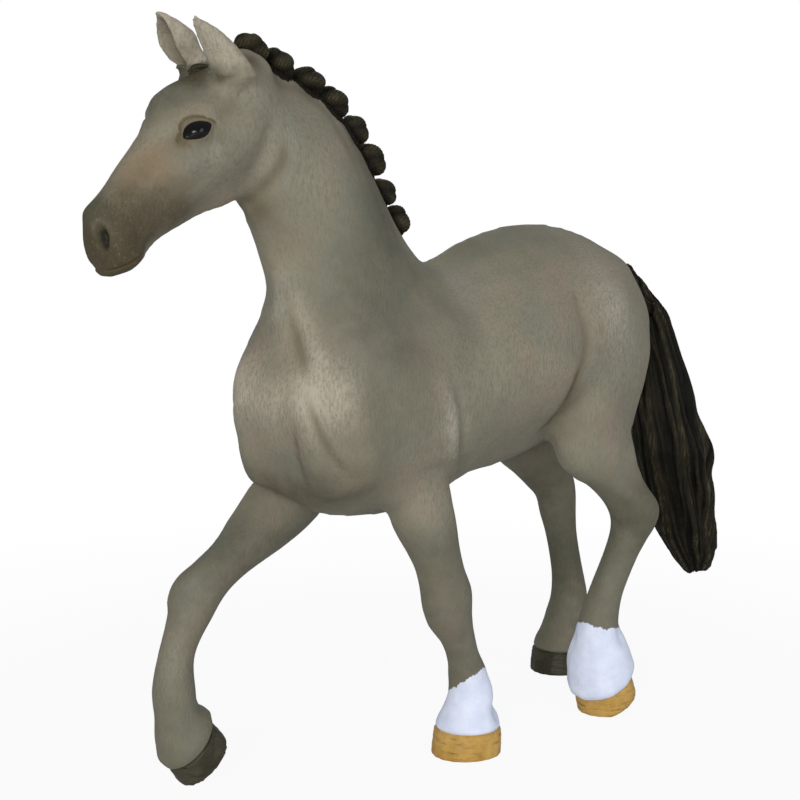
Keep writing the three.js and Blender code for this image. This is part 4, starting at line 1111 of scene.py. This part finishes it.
# ---------------------------------------------------------------- tail
TAIL_VOXEL, TAIL_ROUNDS = 0.3, 8
TAIL_LOCKS, TAIL_STRANDS = 11, 72
LOCK_DEPTH, STRAND_DEPTH = 0.42, 0.2
tail = form_of("tail_hair", "tail", grow=0.05)
finish_with(tail, "REMESH", mode="VOXEL", voxel_size=TAIL_VOXEL * MM, adaptivity=0.0)
even(tail, TAIL_ROUNDS)
spots = places(tail)
for outline in TAIL_OUTLINES.values():
    spots = fitted(spots, **outline)
set_places(tail, spots)
levels = np.linspace(spots[:, 2].min(), spots[:, 2].max(), 40)
centres = []
for level in levels:
    slab = spots[np.abs(spots[:, 2] - level) < 2.0]
    centres.append((slab.min(0) + slab.max(0))[:2] / 2)
centres = np.array(centres)
core_x, core_y = (np.interp(spots[:, 2], levels, centres[:, axis]) for axis in (0, 1))
turn = np.arctan2(spots[:, 1] - core_y, spots[:, 0] - core_x)
drop = (levels[-1] - spots[:, 2]) / (levels[-1] - levels[0])


def hair_waves(count, wave, width):
    """Rounded strands with sharp grooves between them: the highest of many arches at each point."""
    best = np.full(len(spots), -1.0)
    starts = np.linspace(0, 2 * math.pi, count, endpoint=False)
    starts = starts + chance.uniform(-0.25, 0.25, count) * 2 * math.pi / count
    for start in starts:
        rate, phase, lift = chance.uniform(3, 7), chance.uniform(0, 2 * math.pi), chance.uniform(-0.35, 0.2)
        path = start + wave * np.sin(rate * drop + phase) / math.sqrt(count) * 2
        gap = (turn - path + math.pi) % (2 * math.pi) - math.pi
        best = np.maximum(best, 1 + lift - (gap * count / (2 * math.pi) / width) ** 2)
    return np.clip(best, -1, 1.2)


locks = hair_waves(TAIL_LOCKS, 0.5, 0.75)
strands = hair_waves(TAIL_STRANDS, 0.5, 0.8)
flow = eased(drop, 0.0, 0.12)
raised = (locks - 0.7) * LOCK_DEPTH * flow + (strands - 0.6) * STRAND_DEPTH
set_places(tail, spots + outward(tail) * raised[:, None])
set_attribute(tail, "ridge", np.clip(0.3 * locks + 0.5 * strands, 0, 1))
dress(tail, tail_hair, "tail_dark", "tail")

# ---------------------------------------------------------------- hooves
HOOF_VOXEL, HOOF_ROUNDS = 0.3, 4
RING_DEPTH, TOP_TUCK = 0.04, 0.5


def hoof(node):
    """The hoof's wall with growth rings, its top tucked into the leg above."""
    piece = form_of(node + "_wall", node, grow=0.16)
    finish_with(piece, "REMESH", mode="VOXEL", voxel_size=HOOF_VOXEL * MM, adaptivity=0.0)
    even(piece, HOOF_ROUNDS)
    up = sole_of(node)
    spots = places(piece)
    height = spots @ up
    share = (height - height.min()) / (height.max() - height.min())
    faces_to = outward(piece)
    on_wall = 1 - np.abs(faces_to @ up) ** 2
    wobble = np.sin(np.arctan2(spots[:, 1] - spots[:, 1].mean(), spots[:, 0] - spots[:, 0].mean()) * 3) * 0.25
    rings = np.sin((height + wobble) * 5.2) * 0.5 + np.sin((height + wobble) * 9.1 + 1.0) * 0.5
    tuck = eased(share, 0.78, 1.0) * TOP_TUCK
    set_places(piece, spots + faces_to * (rings * on_wall * RING_DEPTH - tuck)[:, None])
    set_attribute(piece, "rings", rings * 0.5 + 0.5)
    set_attribute(piece, "height", share)
    return piece


def hoof_paint(name, dark, mid, light, line):
    """Painted horn with fine dark lines along the growth rings."""
    paint = Paint(name, Roughness=0.5, IOR=1.46, Specular_IOR_Level=0.25)
    broad = paint.noise(3.5, 3.0, 0.55)
    flat = paint.noise(0.9, 4.0, 0.6, paint.stretched((0.28, 0.28, 1.6)))
    fine = paint.noise(0.4, 4.0, 0.7)
    colour = paint.mix(paint.step(broad, 0.35, 0.65), mid, light)
    colour = paint.mix(paint.step(flat, 0.5, 0.3) * 0.6, colour, dark)
    colour = paint.mix(paint.step(paint.attribute("rings") + (flat - 0.5) * 1.4, 0.22, 0.02) * 0.55, colour, line)
    colour = paint.mix(paint.step(fine, 0.5, 0.3) * 0.2, colour, dark)
    return paint.end(colour, paint.step(broad, 0.3, 0.7, 0.42, 0.58), (flat, 0.12), (fine, 0.04))


ochre = hoof_paint("ochre_horn", tint(140, 98, 40), tint(178, 138, 66), tint(196, 158, 88), tint(116, 76, 30))
olive = hoof_paint("dark_horn", tint(36, 34, 22), tint(52, 50, 36), tint(70, 67, 52), tint(30, 28, 18))
for node, material, slot in (("left_fore_hoof", ochre, "ochre_hoof"), ("left_hind_hoof", ochre, "ochre_hoof"),
                             ("right_fore_hoof", olive, "dark_hoof"), ("right_hind_hoof", olive, "dark_hoof")):
    dress(hoof(node), material, slot, node)

# ---------------------------------------------------------------- floor and light
deselect()
FLOOR_RADIUS = 2.5  # in metres
FLOOR_NEAR, FLOOR_FAR, FLOOR_WHITE = 60.0, 200.0, 0.92  # where the floor turns to plain white, and how white it is
bpy.ops.mesh.primitive_circle_add(vertices=96, radius=FLOOR_RADIUS, fill_type="NGON", location=(0, 0, 0))
floor = bpy.context.object
floor.name = "floor"
floor_paint = Paint("pale_floor", Roughness=0.9, Specular_IOR_Level=0.1)
floor.data.materials.append(floor_paint.end(tint(225, 225, 225)))
tree = floor_paint.tree
far = floor_paint.node("VectorMath", {"operation": "LENGTH"}, {0: floor_paint.where}, "Value")
open_air = floor_paint.node("Emission", {}, {"Color": (1, 1, 1, 1), "Strength": 1.0})
by_camera = floor_paint.node("LightPath", {}, {}, "Is Camera Ray")
whiter = floor_paint.step(far, FLOOR_NEAR, FLOOR_FAR, FLOOR_WHITE, 1.0)
blend = floor_paint.node("MixShader", {}, {0: whiter * by_camera, 2: open_air})
tree.links.new(floor_paint.shader.outputs[0], blend.socket.node.inputs[1])
tree.links.new(blend.socket, tree.nodes["Material Output"].inputs["Surface"])
floor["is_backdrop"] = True

world = bpy.context.scene.world or bpy.data.worlds.new("studio")
bpy.context.scene.world = world
world.use_nodes = True
sky = world.node_tree
sky.nodes.clear()
output = sky.nodes.new("ShaderNodeOutputWorld")
kinds = ("Background", "Background", "MixShader", "LightPath")
seen, lit, join, path = (sky.nodes.new("ShaderNode" + kind) for kind in kinds)
seen.inputs["Color"].default_value = (1, 1, 1, 1)
seen.inputs["Strength"].default_value = 1.0
lit.inputs["Color"].default_value = (0.93, 0.96, 1.0, 1)
lit.inputs["Strength"].default_value = 0.36
sky.links.new(path.outputs["Is Camera Ray"], join.inputs[0])
sky.links.new(lit.outputs[0], join.inputs[1])
sky.links.new(seen.outputs[0], join.inputs[2])
sky.links.new(join.outputs[0], output.inputs[0])


def lamp(name, place, size, power, colour):
    """A soft lamp that looks at the figure. Place and size are in metres."""
    light = bpy.data.lights.new(name, "AREA")
    light.shape, light.size, light.energy, light.color = "DISK", size, power, colour
    stand = bpy.data.objects.new(name, light)
    bpy.context.scene.collection.objects.link(stand)
    aim = Vector(AIM) * MM - Vector(place)
    stand.matrix_world = Matrix.Translation(place) @ aim.to_track_quat("-Z", "Y").to_matrix().to_4x4()


lamp("key", (-0.80, -0.42, 0.30), 0.40, 5.1, (1.0, 0.99, 0.96))
lamp("fill", (0.05, -0.80, 0.20), 0.6, 1.9, (0.97, 0.985, 1.0))
lamp("rear", (0.45, 0.5, 0.45), 0.5, 0.8, (0.97, 0.98, 1.0))
bpy.context.scene.view_settings.view_transform = "Standard"

low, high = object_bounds()
